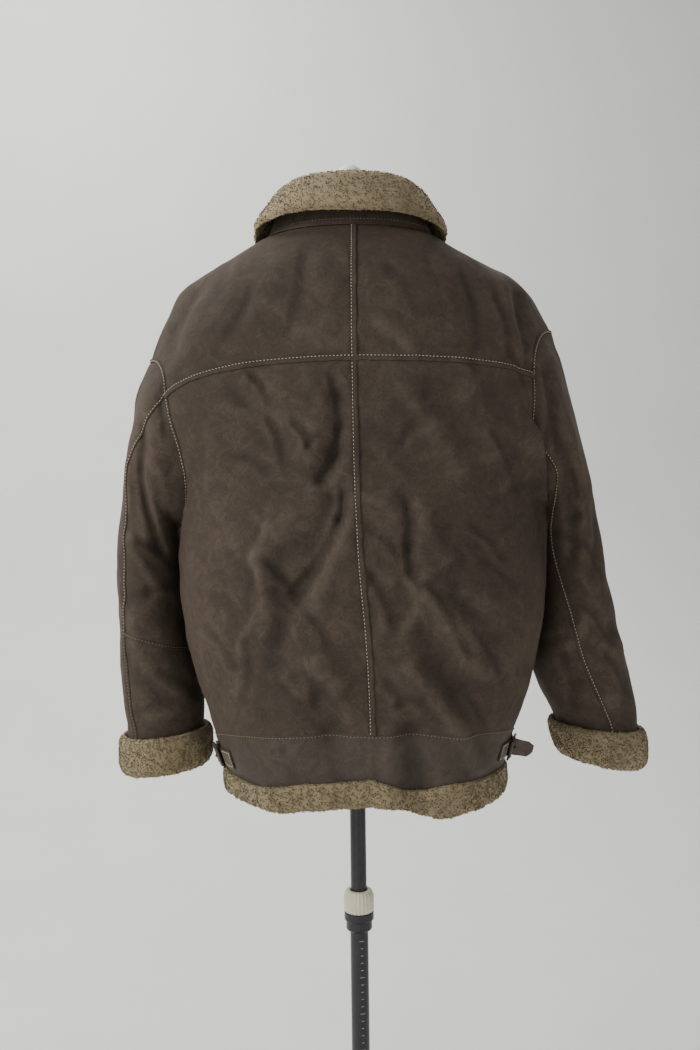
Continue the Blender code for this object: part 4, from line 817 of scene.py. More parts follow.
# Points at a distance beside a line of the grid, lifted from the cloth
def besideLine(grid, out, rows, cols, ahead, distance, lift):
    rows, cols = np.broadcast_arrays(np.asarray(rows, float), np.asarray(cols, float))
    inward = 1
    for at, move, size in zip((rows, cols), ahead, grid.shape):
        inward = inward * np.where(at + move > size - 1, -1, 1) * np.where(at + move < 0, -1, 1)
    here = sample(grid, rows, cols)
    there = sample(grid, rows + ahead[0] * inward, cols + ahead[1] * inward)
    step = np.maximum(np.linalg.norm(there - here, axis=-1), 1e-5)
    r, c = rows + ahead[0] * distance / step, cols + ahead[1] * distance / step
    normal = unit(sample(out, r, c))
    return sample(grid, r, c) + normal * np.reshape(lift, (-1, 1)), normal


# Colour code to linear values
def linear(code, alpha=1.0):
    values = [int(code[k : k + 2], 16) / 255 for k in (0, 2, 4)]
    return tuple(v / 12.92 if v <= 0.04045 else ((v + 0.055) / 1.055) ** 2.4 for v in values) + (alpha,)


def addNode(tree, kind, settings=None, links=None):
    made = tree.nodes.new(kind)
    for name, value in (settings or {}).items():
        if name in made.inputs:
            made.inputs[name].default_value = value
        else:
            setattr(made, name, value)
    for name, source in (links or {}).items():
        tree.links.new(source, made.inputs[name])
    return made


def newMaterial(name, note):
    material = bpy.data.materials.new(name)
    material.use_nodes = True
    material["note"] = note
    tree = material.node_tree
    return material, tree, tree.nodes["Principled BSDF"]


def rampOf(tree, factor, stops):
    ramp = addNode(tree, "ShaderNodeValToRGB", {}, {"Fac": factor})
    while len(ramp.color_ramp.elements) < len(stops):
        ramp.color_ramp.elements.new(0.5)
    for element, (at, code) in zip(ramp.color_ramp.elements, stops):
        element.position = at
        element.color = linear(code)
    return ramp.outputs["Color"]


def noiseOf(tree, place, scale, fineness, roughness=0.5, distortion=0.0):
    settings = {"Scale": scale, "Detail": fineness, "Roughness": roughness, "Distortion": distortion}
    return addNode(tree, "ShaderNodeTexNoise", settings, {"Vector": place}).outputs["Fac"]


def scaled(tree, value, factor, plus=None):
    kind = {"operation": "MULTIPLY" if plus is None else "MULTIPLY_ADD"}
    made = addNode(tree, "ShaderNodeMath", kind, {0: value} if plus is None else {0: value, 2: plus})
    made.inputs[1].default_value = factor
    return made.outputs[0]


def bumpOf(tree, height, strength, distance, under=None):
    links = {"Height": height} if under is None else {"Height": height, "Normal": under}
    settings = {"Strength": strength, "Distance": distance}
    return addNode(tree, "ShaderNodeBump", settings, links).outputs["Normal"]


def dress(tree, shader, colour, bump, values):
    tree.links.new(colour, shader.inputs["Base Color"])
    tree.links.new(bump, shader.inputs["Normal"])
    for name, value in values.items():
        shader.inputs[name].default_value = value


def suedeMaterial(name, dark, middle, light, rough):
    material, tree, shader = newMaterial(name, "brushed suede: patchy nap, lighter where creases are rubbed")
    place = addNode(tree, "ShaderNodeTexCoord").outputs["Object"]
    patches = noiseOf(tree, place, 7.0, 4.0, 0.6)
    grain = noiseOf(tree, place, 420.0, 3.0, 0.7)
    scuffs = noiseOf(tree, place, 46.0, 6.0, 0.75, 1.4)
    # Painted light and shade of the creases: the attribute lightens crests, partly as rubbed nap and partly
    # as painted highlight, and darkens valleys and welt edges as painted shade
    total = scaled(
        tree, addNode(tree, "ShaderNodeAttribute", {"attribute_name": "wearLightAndShade"}).outputs["Fac"], 0.085,
    )
    for spots, share in ((grain, 0.22), (scuffs, 0.42), (patches, 0.36)):
        total = scaled(tree, spots, share, total)
    colour = rampOf(tree, total, [(0.28, dark), (0.50, middle), (0.74, light)])
    wrinkles = bumpOf(tree, noiseOf(tree, place, 95.0, 4.0, 0.6, 0.8), 0.5, 0.0012)
    nap = bumpOf(tree, grain, 0.5, 0.0003, wrinkles)
    values = {"Roughness": rough, "Specular IOR Level": 0.25, "Sheen Weight": 0.22, "Sheen Roughness": 0.45}
    dress(tree, shader, colour, nap, values | {"Sheen Tint": linear("8a7766")})
    return material


def plainMaterial(name, note, dark, light, rough, metal=0.0, scale=60.0, bump=0.0002, sheen=0.0):
    material, tree, shader = newMaterial(name, note)
    place = addNode(tree, "ShaderNodeTexCoord").outputs["Object"]
    spots = noiseOf(tree, place, scale, 5.0, 0.6)
    colour = rampOf(tree, spots, [(0.3, dark), (0.7, light)])
    values = {"Roughness": rough, "Metallic": metal, "Sheen Weight": sheen}
    dress(tree, shader, colour, bumpOf(tree, spots, 0.4, bump), values)
    return material


def linenMaterial():
    material, tree, shader = newMaterial("formLinen", "plain woven linen cover of the form")
    place = addNode(tree, "ShaderNodeTexCoord").outputs["Object"]
    weave = {"Scale": 330.0, "Distortion": 1.2, "bands_direction": "Z"}
    threads = addNode(tree, "ShaderNodeTexWave", weave, {"Vector": place}).outputs["Fac"]
    colour = rampOf(tree, noiseOf(tree, place, 220.0, 4.0), [(0.3, "b5ad98"), (0.7, "cfc8b4")])
    dress(tree, shader, colour, bumpOf(tree, threads, 0.4, 0.0003), {"Roughness": 0.9})
    return material


def pileMaterial():
    material, tree, shader = newMaterial("pile", "short curly pile, darker at the roots and in patches")
    place = addNode(tree, "ShaderNodeTexCoord").outputs["Object"]
    # Painted shade in the pile: darker at the tufts' roots, lighter at their tips
    tuftShading = addNode(tree, "ShaderNodeAttribute", {"attribute_name": "tuftShading"}).outputs["Fac"]
    total = scaled(tree, noiseOf(tree, place, 22.0, 4.0, 0.65), 0.8, scaled(tree, tuftShading, 0.06))
    colour = rampOf(tree, total, [(0.25, "76684e"), (0.5, "8d7d60"), (0.8, "a89a7c")])
    curls = bumpOf(tree, noiseOf(tree, place, 420.0, 3.0, 0.6, 1.0), 0.8, 0.0012)
    values = {"Roughness": 0.9, "Sheen Weight": 0.55, "Sheen Tint": linear("d8cba8")}
    dress(tree, shader, colour, curls, values)
    return material


def finishMesh(name, data, material, angle=45.0, flat=False):
    bmesh.ops.recalc_face_normals(data, faces=data.faces)
    mesh = bpy.data.meshes.new(name)
    data.to_mesh(mesh)
    data.free()
    mesh.materials.append(material)
    if not flat:
        mesh.shade_smooth()
        mesh.set_sharp_from_angle(angle=math.radians(angle))
    obj = bpy.data.objects.new(name, mesh)
    bpy.context.scene.collection.objects.link(obj)
    return obj


def meshPiece(name, points, faces, material, smooth=True):
    mesh = bpy.data.meshes.new(name)
    mesh.from_pydata(points, [], faces)
    mesh.materials.append(material)
    if smooth:
        mesh.shade_smooth()
    obj = bpy.data.objects.new(name, mesh)
    bpy.context.scene.collection.objects.link(obj)
    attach(obj, "upper")
    return obj


def bevelEdges(obj, width, angle):
    edge = obj.modifiers.new("edge", "BEVEL")
    edge.width = width
    edge.segments = 2
    edge.limit_method = "ANGLE"
    edge.angle_limit = math.radians(angle)


# Sheet with a thickness, grown inwards from a grid
def addWall(data, grid, outward, thickness, values=None):
    rows, cols = grid.shape[:2]
    through = data.verts.layers.float_vector.get("through") or data.verts.layers.float_vector.new("through")
    wearLightAndShade = data.verts.layers.float.get("wearLightAndShade") or data.verts.layers.float.new("wearLightAndShade")
    made = bmesh.ops.create_grid(data, x_segments=cols - 1, y_segments=rows - 1, size=1.0)
    inner = grid - outward * thickness
    faces = set()
    for i, vert in enumerate(made["verts"]):
        at = (i // cols, i % cols)
        vert.co = grid[at]
        vert[through] = inner[at]
        if values is not None:
            vert[wearLightAndShade] = values[at]
        faces.update(vert.link_faces)
    grown = bmesh.ops.extrude_face_region(data, geom=list(faces), use_keep_orig=True)
    for item in grown["geom"]:
        if isinstance(item, bmesh.types.BMVert):
            item.co = item[through]


# Sheet whose rims turn down into the seam
def rolled(grid, outward, amount, reach=2):
    depth = np.zeros(grid.shape[:2])
    for k in range(reach):
        drop = amount * (1 - k / reach) ** 1.5
        rim = np.zeros(grid.shape[:2], bool)
        rim[k], rim[-1 - k], rim[:, k], rim[:, -1 - k] = True, True, True, True
        depth = np.where(rim & (depth == 0), drop, depth)
    pucker = 0.7 + 0.6 * np.abs(unevenness(grid, 0.009, 1.0))
    return grid - outward * (depth * pucker)[..., None]


def areaOf(grid):
    a = np.cross(grid[1:, 1:] - grid[:-1, :-1], grid[1:, :-1] - grid[:-1, 1:])
    return float(np.linalg.norm(a, axis=-1).sum() / 2)


def cutOf(grid):
    wide = np.linalg.norm(np.diff(grid, axis=1), axis=-1).sum(axis=1).max()
    tall = np.linalg.norm(np.diff(grid, axis=0), axis=-1).sum(axis=0).max()
    return float(wide), float(tall)


print("body surface")
grids, wearLightAndShade = bodyGrids()
outs = sharedNormals(grids)
for side in (leftSide, rightSide):
    made, rubbedAndLit = sleeveGrid(side, grids)
    grids[(side, "sleeve")] = (made, -side)
    wearLightAndShade[(side, "sleeve")] = rubbedAndLit
    outs.update(sharedNormals({(side, "sleeve"): (made, -side)}))

suede = suedeMaterial("suede", "2a2420", "443a31", "605449", 0.88)
bandSuede = suedeMaterial("bandSuede", "2a2521", "413930", "5a5047", 0.62)
pile = pileMaterial()
thread = plainMaterial(
    "thread", "off-white sewing thread", "c0b297", "d8ccb4", 0.8, scale=900.0, bump=0.0001,
)
tonalThread = plainMaterial(
    "tonalThread", "brown sewing thread", "7b6c5c", "978876", 0.8, scale=900.0, bump=0.0001,
)
strapLeather = plainMaterial("strapLeather", "brown strap leather", "3b3027", "55463a", 0.6, scale=150.0)
buckleMetal = plainMaterial(
    "buckleMetal", "dark plated metal", "2a2522", "3d3631", 0.38, metal=0.9, scale=200.0, bump=0.0001,
)
zipMetal = plainMaterial(
    "zipMetal", "antique brass", "4a4032", "6a5d48", 0.4, metal=1.0, scale=300.0, bump=0.00005,
)
zipTapeCloth = plainMaterial(
    "zipTape", "woven zip tape", "2b221c", "3a2f27", 0.85, scale=1200.0, bump=0.0002,
)
capPaint = plainMaterial("capPaint", "cream painted wood", "f7f3e8", "fbf8f0", 0.5, scale=30.0, bump=0.0001)
tubePaint = plainMaterial(
    "tubePaint", "dark satin paint", "1d1b1e", "252326", 0.38, scale=120.0, bump=0.00005,
)
ringPlastic = plainMaterial(
    "ringPlastic", "cream moulded plastic", "cfc9ae", "ddd7bf", 0.45, scale=40.0, bump=0.0001,
)
markPaint = plainMaterial(
    "markPaint", "grey printed marks", "8b9294", "a5abac", 0.6, scale=300.0, bump=0.00005,
)
linen = linenMaterial()


# Welt along a seam, a little uneven as sewn ones are
def beside(key, rows, cols, ahead, profile):
    grid, out = grids[key][0], outs[key]
    count = max(np.size(rows), np.size(cols))
    waver = np.array([noise.noise(Vector((k * 0.55 / detail * 4, 3.7, 0.0))) for k in range(count)])
    made = []
    for distance, lift in profile:
        away, high = distance * (1 + 0.18 * waver), lift * (1 + 0.5 * waver * (lift > 0))
        made.append(besideLine(grid, out, rows, cols, ahead, away, high))
    return np.stack([m[0] for m in made], axis=1), np.stack([m[1] for m in made], axis=1)


# Flat size and area of each sewn piece, printed at the end
report = {}


def panel(node, grid, out, values, material, welts=(), sewing=None, roll=0.0007):
    data = bmesh.new()
    addWall(data, rolled(inset(grid, 0.00012), out, roll), out, 0.0014, values)
    for points, facing in welts:
        shades = np.array(weltShade[: points.shape[1] - 2] + weltShade[-2:])
        addWall(data, points, facing, 0.0008, np.tile(shades, (points.shape[0], 1)))
    obj = finishMesh(node + "_cloth", data, material, 60.0)
    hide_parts(node)
    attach(obj, "upper")
    if sewing:
        stitchRows(node + "_stitches", sewing[0], sewing[1])
    cutOf(grid)
    areaOf(grid)
    report[node] = (cutOf(grid), areaOf(grid))


def cutPanel(node, key, part, material, welts=(), sewing=None):
    panel(node, grids[key][0][part], outs[key][part], wearLightAndShade[key][part], material, welts, sewing)


def lineOf(key, rows, cols, ahead, distance, lift):
    return besideLine(grids[key][0], outs[key], rows, cols, ahead, distance, lift)


# Single stitches along lines
def stitchRows(name, lines, material, radius=0.00045, pitch=0.0046, length=0.0026):
    verts, faces = [], []
    turns = np.linspace(0, 2 * math.pi, 6)[:-1]
    sizes = np.array([0.2, 0.9, 1.0, 0.9, 0.2]) * radius
    lifts = np.array([-0.0005, 0.0, 0.0001, 0.0, -0.0005])
    for points, facing in lines:
        steps = np.linalg.norm(np.diff(points, axis=0), axis=1)
        along = np.concatenate([[0.0], np.cumsum(steps)])
        count = max(int(along[-1] / pitch), 1)
        for k in range(count):
            at = (k + 0.5) * along[-1] / count + length * np.array([-0.5, -0.3, 0.0, 0.3, 0.5])
            p = np.stack([np.interp(at, along, points[:, i]) for i in range(3)], axis=1)
            n = unit(np.stack([np.interp(at, along, facing[:, i]) for i in range(3)], axis=1))
            if np.linalg.norm(p[-1] - p[0]) < 0.5 * length:
                continue
            ahead = unit(np.gradient(p, axis=0))
            across = unit(np.cross(n, ahead))
            first = len(verts)
            for j in range(5):
                for a in turns:
                    aside = across[j] * math.cos(a) + n[j] * math.sin(a)
                    verts.append(p[j] + n[j] * lifts[j] + aside * sizes[j])
            for j in range(4):
                for i in range(5):
                    o, e = first + 5 * j, (i + 1) % 5
                    faces.append((o + i, o + e, o + 5 + e, o + 5 + i))
            faces.append(tuple(first + i for i in range(5)))
            faces.append(tuple(first + 20 + i for i in range(5)))
    return meshPiece(name, [tuple(v) for v in verts], faces, material)


print("panels")
welt = [
    (-0.0008, -0.0008), (0.0, 0.0005), (0.0016, 0.0003), (0.0036, 0.0013), (0.0062, 0.0017),
    (0.0078, 0.0014), (0.0084, 0.0002), (0.0086, -0.0008),
]
narrowWelt = [
    (-0.0008, -0.0008), (0.0, 0.0004), (0.0014, 0.0002), (0.0030, 0.0010), (0.0046, 0.0011),
    (0.0054, 0.0002), (0.0056, -0.0008),
]
# Painted shade across each welt's rows, carried into the suede colour: darker in the seam and at the folded
# edge, a touch lighter on its top as painted highlight
weltShade = [-1.0, 0.0, -0.8, -0.2, 0.0, 0.3, -3.0, -4.0]
bandEnd, yokeStart, armpit, top = bandRows * detail, yokeRow * detail, armpitRow * detail, topRow * detail
wide = columnCount * detail
for side in (leftSide, rightSide):
    word = sideNames[side]
    back, front = (side, backHalf), (side, frontHalf)
    cols = np.arange(0, wide + 1)
    yokeWelt = beside(back, yokeStart, cols, (-1, 0), welt)
    yokeLine = lineOf(back, yokeStart, cols, (-1, 0), 0.0015, 0.0009)
    upRows, lowRows = np.arange(yokeStart, top + 1), np.arange(bandEnd, yokeStart + 1)
    armUp = np.arange(yokeStart, top + 1)
    armLow = np.arange(armpit, yokeStart + 1)
    holeUp = beside(back, armUp, wide, (0, -1), narrowWelt)
    holeLow = beside(back, armLow, wide, (0, -1), narrowWelt)
    holeUpLine = lineOf(back, armUp, wide, (0, -1), 0.0015, 0.0008)
    holeLowLine = lineOf(back, armLow, wide, (0, -1), 0.0015, 0.0008)
    yokeWelts, lowWelts = [yokeWelt, holeUp], [holeLow]
    yokeSewing, lowSewing = [yokeLine, holeUpLine], [holeLowLine]
    if side == rightSide:
        yokeWelts.append(beside(back, upRows, 0, (0, 1), welt))
        lowWelts.append(beside(back, lowRows, 0, (0, 1), welt))
        yokeSewing.append(lineOf(back, upRows, 0, (0, 1), 0.0015, 0.0009))
        lowSewing.append(lineOf(back, lowRows, 0, (0, 1), 0.0015, 0.0009))
    part = slice(yokeStart, None)
    cutPanel(f"back_yoke_{word}", back, part, suede, yokeWelts, (yokeSewing, thread))
    part = slice(bandEnd, yokeStart + 1)
    cutPanel(f"back_{word}", back, part, suede, lowWelts, (lowSewing, thread))
    frontRows = np.arange(bandEnd, top + 1)
    holeRows = np.arange(armpit, top + 1)
    frontWelts = [beside(front, holeRows, wide, (0, -1), narrowWelt)]
    frontSewing = [
        lineOf(front, holeRows, wide, (0, -1), 0.0015, 0.0008),
        lineOf(front, frontRows, 0, (0, 1), 0.0045, 0.0005),
    ]
    part = slice(bandEnd, None)
    cutPanel(f"front_{word}", front, part, suede, frontWelts, (frontSewing, thread))
    part = slice(0, bandEnd + 1)
    bandLine = lineOf(front, bandEnd, cols, (-1, 0), 0.003, 0.0004)
    sewing = ([bandLine], tonalThread)
    cutPanel(f"hem_band_front_{word}", front, part, bandSuede, (), sewing)
part = slice(0, bandEnd + 1)
leftBack, rightBack = (leftSide, backHalf), (rightSide, backHalf)
bandGrid = np.concatenate([grids[leftBack][0][part, ::-1], grids[rightBack][0][part, 1:]], axis=1)
bandOut = np.concatenate([outs[leftBack][part, ::-1], outs[rightBack][part, 1:]], axis=1)
bandWearLightAndShade = np.concatenate([wearLightAndShade[leftBack][part, ::-1], wearLightAndShade[rightBack][part, 1:]], axis=1)
bandLine = besideLine(bandGrid, bandOut, bandEnd, np.arange(bandGrid.shape[1]), (-1, 0), 0.003, 0.0004)
panel("hem_band_back", bandGrid, bandOut, bandWearLightAndShade, bandSuede, (), ([bandLine], tonalThread))

print("sleeves")
for side in (leftSide, rightSide):
    word = sideNames[side]
    key = (side, "sleeve")
    rear, front = sleeveSeams[side]["rear"] * detail, sleeveSeams[side]["front"] * detail
    last = loopCount * detail
    topCols = np.concatenate([np.arange(front, last), np.arange(rear + 1)])
    under = slice(rear, front + 1)
    rows = np.arange(0, grids[key][0].shape[0])
    rearWelt = beside(key, rows, rear, (0, 1), narrowWelt)
    rearLine = lineOf(key, rows, rear, (0, 1), 0.0015, 0.0008)
    cutPanel(f"sleeve_{word}_top", key, (slice(None), topCols), suede)
    if side == leftSide:
        cross = elbowSeamRow * detail
        upper, lower = slice(0, cross + 1), slice(cross, None)
        welts = [[(rearWelt[0][part], rearWelt[1][part])] for part in (upper, lower)]
        sewing = [[(rearLine[0][part], rearLine[1][part])] for part in (upper, lower)]
        part = (upper, under)
        cutPanel("sleeve_left_under_upper", key, part, suede, welts[0], (sewing[0], thread))
        crossCols = np.arange(rear, front + 1)
        welts[1].append(beside(key, cross, crossCols, (1, 0), narrowWelt))
        sewing[1].append(lineOf(key, cross, crossCols, (1, 0), 0.0015, 0.0008))
        part, lowSewing = (lower, under), (sewing[1], tonalThread)
        cutPanel("sleeve_left_under_lower", key, part, suede, welts[1], lowSewing)
    else:
        part, sewing = (slice(None), under), ([rearLine], thread)
        cutPanel("sleeve_right_under", key, part, suede, [rearWelt], sewing)


# Tufts of the pile: their height, their half thickness and how they fall
tuftLook = {"height": (0.0011, 0.0023), "thickness": (0.0008, 0.0014), "droop": 0.35, "lean": 1.15}


# Rolled pile: a lumpy backing and its tufts
def pilePiece(node, sections, closed, tuftCount, seed, flat):
    grid = np.array(sections)
    grid = np.concatenate([grid, grid[:, :1]], axis=1)
    if closed:
        grid = np.concatenate([grid, grid[:1]], axis=0)
    grid = spline(grid, 2, closed)
    grid = spline(grid.swapaxes(0, 1), 4, True).swapaxes(0, 1)
    facing = normals(grid, 1)
    if closed:
        facing[0] = facing[-1] = facing[0] + facing[-1]
    facing[:, 0] = facing[:, -1] = facing[:, 0] + facing[:, -1]
    facing = unit(facing)
    middle = grid[:, :-1].mean(axis=1, keepdims=True)
    if np.sum(facing * (grid - middle)) < 0:
        facing = -facing
    shrink = 0.0016 * (1 - 0.92 * np.clip(facing[..., 2:], 0, 1))
    lumps = unevenness(grid, 0.007, 0.0011) + unevenness(grid, 0.016, 0.0013)
    lumps[:, -1] = lumps[:, 0]
    if closed:
        lumps[-1] = lumps[0]
    shell = grid - facing * shrink + facing * lumps[..., None] * (1 - 0.8 * np.clip(facing[..., 2:], 0, 1))
    rows, cols = shell.shape[0] - (1 if closed else 0), shell.shape[1] - 1
    verts = shell[:rows, :cols].reshape(-1, 3)
    faces = []
    for i in range(rows if closed else rows - 1):
        for j in range(cols):
            a, b = i * cols, ((i + 1) % rows) * cols
            faces.append((a + j, a + (j + 1) % cols, b + (j + 1) % cols, b + j))
    if not closed:
        faces.append(tuple(range(cols)))
        faces.append(tuple((rows - 1) * cols + j for j in range(cols)))
    data = bmesh.new()
    tuftShading = data.verts.layers.float.new("tuftShading")
    made = [data.verts.new(v) for v in verts]
    # The backing takes a middle value of the tufts' painted shade
    for vert in made:
        vert[tuftShading] = 0.5
    for face in faces:
        data.faces.new([made[k] for k in face])
    bmesh.ops.triangulate(data, faces=[face for face in data.faces if len(face.verts) > 4])
    base = finishMesh(node + "_backing", data, pile, 180.0)
    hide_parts(node)
    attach(base, "upper")
    generator = np.random.default_rng(seed)
    rising, falling = shell[1:, 1:] - shell[:-1, :-1], shell[1:, :-1] - shell[:-1, 1:]
    cell = np.linalg.norm(np.cross(rising, falling), axis=-1)
    chosen = generator.choice(cell.size, tuftCount, p=(cell / cell.sum()).ravel())
    i, j = np.unravel_index(chosen, cell.shape)
    u, v = generator.random((tuftCount, 1)), generator.random((tuftCount, 1))

    def blended(values):
        low = values[i, j] * (1 - u) * (1 - v) + values[i + 1, j] * u * (1 - v)
        return low + values[i, j + 1] * (1 - u) * v + values[i + 1, j + 1] * u * v

    root, normal = blended(shell), unit(blended(facing))
    flow = np.array([noise.noise(Vector(p) / 0.012) for p in root])
    swirl = flow * 7 + generator.normal(0, 0.8, tuftCount)
    one = unit(np.cross(normal, [0.0, 0.0, 1.0]) + 1e-6)
    two = np.cross(normal, one)
    droop = np.array([0.0, 0.0, tuftLook["droop"]])
    lean = one * np.cos(swirl)[:, None] + two * np.sin(swirl)[:, None] - droop
    lean = unit(lean - normal * np.sum(lean * normal, axis=1, keepdims=True))
    tall = generator.uniform(*tuftLook["height"], (tuftCount, 1))
    thick = generator.uniform(*tuftLook["thickness"], (tuftCount, 1))
    across = np.cross(normal, lean)
    middlePoint = root + normal * tall * 0.42 + lean * tall * 0.35
    tipPoint = root + normal * tall * 0.45 + lean * tall * tuftLook["lean"]
    points = np.zeros((tuftCount, 7, 3))
    for k in range(3):
        a = 2 * math.pi * k / 3
        ring = across * math.cos(a) + lean * math.sin(a)
        points[:, k] = root - normal * 0.0008 + ring * thick
        points[:, 3 + k] = middlePoint + (across * math.cos(a) + normal * math.sin(a)) * thick * 0.75
    points[:, 6] = tipPoint
    tuftFaces = []
    for t in range(tuftCount):
        f = 7 * t
        for k in range(3):
            n = (k + 1) % 3
            tuftFaces.append((f + k, f + n, f + 3 + n, f + 3 + k))
            tuftFaces.append((f + 3 + k, f + 3 + n, f + 6))
    tufts = meshPiece(node + "_tufts", points.reshape(-1, 3).tolist(), tuftFaces, pile)
    # Painted shade along each tuft, from its dark root to its light tip, plus a random tone per tuft
    level = tufts.data.attributes.new("tuftShading", "FLOAT", "POINT")
    shade = np.repeat(generator.normal(0, 0.3, tuftCount), 7)
    level.data.foreach_set("value", np.tile([0.2, 0.2, 0.2, 0.6, 0.6, 0.6, 1.0], tuftCount) + shade)
    area = float(cell.sum() / 4)
    sheetSize = flat if flat[0] * flat[1] >= area else (flat[0], area / flat[0] * 1.001)
    report[node] = (sheetSize, area)


print("collar")


# Points round the neck seam, from one front over the back to the other
def neckStations():
    order = [((leftSide, frontHalf), range(0, neckColumns * detail))]
    order += [((leftSide, backHalf), range(neckColumns * detail, 0, -1))]
    order += [((rightSide, backHalf), range(0, neckColumns * detail))]
    order += [((rightSide, frontHalf), range(neckColumns * detail, -1, -1))]
    base = np.array([grids[key][0][-1, k] for key, cols in order for k in cols])
    base = base[:: 3 if len(base) % 3 == 1 else 2]
    angle = np.degrees(np.arctan2(np.abs(base[:, 0]) / neckHalfWidth, base[:, 1] / neckBack))
    along = np.gradient(base, axis=0)
    out = unit(np.stack([along[:, 1], -along[:, 0], 0 * along[:, 0]], axis=1))
    return base, angle, out * np.sign(np.sum(out[0] * base[0] * [1, 1, 0]))


def bodySurface():
    points, faces = [], []
    for side in (leftSide, rightSide):
        for half in (backHalf, frontHalf):
            grid = grids[(side, half)][0][yokeStart - 4 * detail :]
            first, count = len(points), grid.shape[1]
            points += [Vector(point) for point in grid.reshape(-1, 3)]
            for row in range(grid.shape[0] - 1):
                for k in range(count - 1):
                    corner = first + row * count + k
                    faces.append((corner, corner + 1, corner + count + 1, corner + count))
    return BVHTree.FromPolygons(points, faces)


surface = bodySurface()
standRows, standOut, collarSections = [], [], []
upward = np.array([0.0, 0.0, 1.0])
for base, angle, out in zip(*neckStations()):
    names = ("lean", "height", "reach", "edge")
    lean, height, reach, edge = (read(collarSizes, "angle", name, angle) for name in names)
    edge += collarTilt * base[0] / neckHalfWidth
    for spot in (reach, reach - 0.008):
        below = surface.ray_cast(Vector(base + out * spot + upward * 0.05), Vector((0.0, 0.0, -1.0)))[0]
        if below:
            edge = max(edge, below.z - base[2] + collarClear)
    low, high = 0.0006, height - 0.0106
    foot = lean * (collarFoot - low) / (high - low)
    shares = np.linspace(0, 1, 9)
    standRows.append([base + out * lean * s + upward * (low + (high - low) * s) for s in shares])
    standOut.append([out] * 9)
    fall = unit(np.array([reach - lean, edge - height + 0.0102]))
    turn = np.array([-fall[1], fall[0]])
    corner = np.array([reach, edge])
    profile = [
        (foot - standWall - collarGap - 0.0075, collarFoot),
        (foot - standWall - collarGap, collarFoot),
        (lean - standWall - collarGap, height - 0.0102),
        (lean + touchGap, height - 0.0102),
        corner,
        corner + turn * collarPile * 0.55 + fall * 0.003,
        corner + turn * collarPile - fall * 0.003,
        corner + turn * collarPile * 1.1 - fall * 0.022,
        (lean + 0.0105, height - 0.006),
        (lean - 0.001, height),
        (lean - 0.0105, height - 0.007),
    ]
    collarSections.append([base + out * r + upward * h for r, h in profile])
standGrid, standFacing = np.array(standRows).transpose(1, 0, 2), np.array(standOut).transpose(1, 0, 2)
standLine = (standGrid[1], standFacing[1])
shade, sewing = np.zeros(standGrid.shape[:2]), ([standLine], tonalThread)
panel("collar_stand", standGrid, standFacing, shade, suede, (), sewing, roll=0.0)
tuftShare = 1.0
pilePiece("collar_pile", collarSections, False, int(15000 * tuftShare), 3, (0.66, 0.13))

print("cuffs and hem")
for side in (leftSide, rightSide):
    grid = grids[(side, "sleeve")][0]
    cols = np.arange(0, loopCount * detail, 2)
    ring, above = grid[-1, cols], grid[-1 - detail, cols]
    middle = grid[-1, :-1].mean(axis=0)
    out = unit((ring - middle) * np.array([1.0, 1.0, 0.0]))
    rise = unit(above - ring)
    profile = [
        (touchGap, -cuffBelowSleeve + 0.004),
        (touchGap, cuffHeight - cuffBelowSleeve - 0.006),
        (cuffPile * 0.45, cuffHeight - cuffBelowSleeve),
        (cuffPile * 0.95, cuffHeight - cuffBelowSleeve - 0.008),
        (cuffPile * 1.05, cuffHeight * 0.30),
        (cuffPile * 1.00, -cuffBelowSleeve + 0.010),
        (cuffPile * 0.50, -cuffBelowSleeve),
    ]
    sections = [[ring[k] + out[k] * r + rise[k] * h for r, h in profile] for k in range(len(cols))]
    pilePiece(
        f"cuff_pile_{sideNames[side]}", sections, True, int(8000 * tuftShare), 5 + side, (0.40, 0.065),
    )

order = [((leftSide, frontHalf), range(0, wide)), ((leftSide, backHalf), range(wide, 0, -1))]
order += [((rightSide, backHalf), range(0, wide)), ((rightSide, frontHalf), range(wide, -1, -1))]
profile = [
    (-0.0035, 0.0), (0.003, 0.0), (0.0055, -0.12), (0.0062, -0.5), (0.0045, -0.88), (0.0, -1.0),
    (-0.0055, -0.85), (-0.007, -0.4),
]
spots = [(key, k) for key, cols in order for k in cols]
sections = []
for key, k in spots[:: 3 if len(spots) % 3 == 1 else 2]:
    point, out = grids[key][0][0, k], unit(outs[key][0, k] * np.array([1.0, 1.0, 0.0]))
    bottom = read(hemWave, "x", "bottom", point[0]) if key[1] == backHalf else hemPileZ
    height = point[2] - touchGap - bottom
    base = point * np.array([1.0, 1.0, 0.0]) + np.array([0.0, 0.0, point[2] - touchGap])
    sections.append([base + out * r + np.array([0.0, 0.0, height * h]) for r, h in profile])
pilePiece("hem_pile", sections, False, int(14000 * tuftShare), 9, (1.13, 0.075))

print("adjusters")


# Places on the band beside the side seam, by distance past it
def bandPlace(side):
    part = slice(0, bandEnd + 1)
    back, front = grids[(side, backHalf)][0][part], grids[(side, frontHalf)][0][part]
    backOut, frontOut = outs[(side, backHalf)][part], outs[(side, frontHalf)][part]
    points = np.concatenate([front[:, :-1], back[:, ::-1]], axis=1)
    out = np.concatenate([frontOut[:, :-1], backOut[:, ::-1]], axis=1)
    level = bandEnd // 2
    steps = np.linalg.norm(np.diff(points[level], axis=0), axis=1)
    along = np.concatenate([[0.0], np.cumsum(steps)])
    along -= along[wide] + adjusterShift

    def columnOf(values, past):
        return np.array([[np.interp(past, along, row[:, k]) for k in range(3)] for row in values])

    def place(past, z, lift):
        column, normal = columnOf(points, past), columnOf(out, past)
        spot = np.array([np.interp(z, column[:, 2], column[:, k]) for k in range(3)])
        spot[2] = z
        return spot + unit(np.array([np.interp(z, column[:, 2], normal[:, k]) for k in range(3)])) * lift

    return place


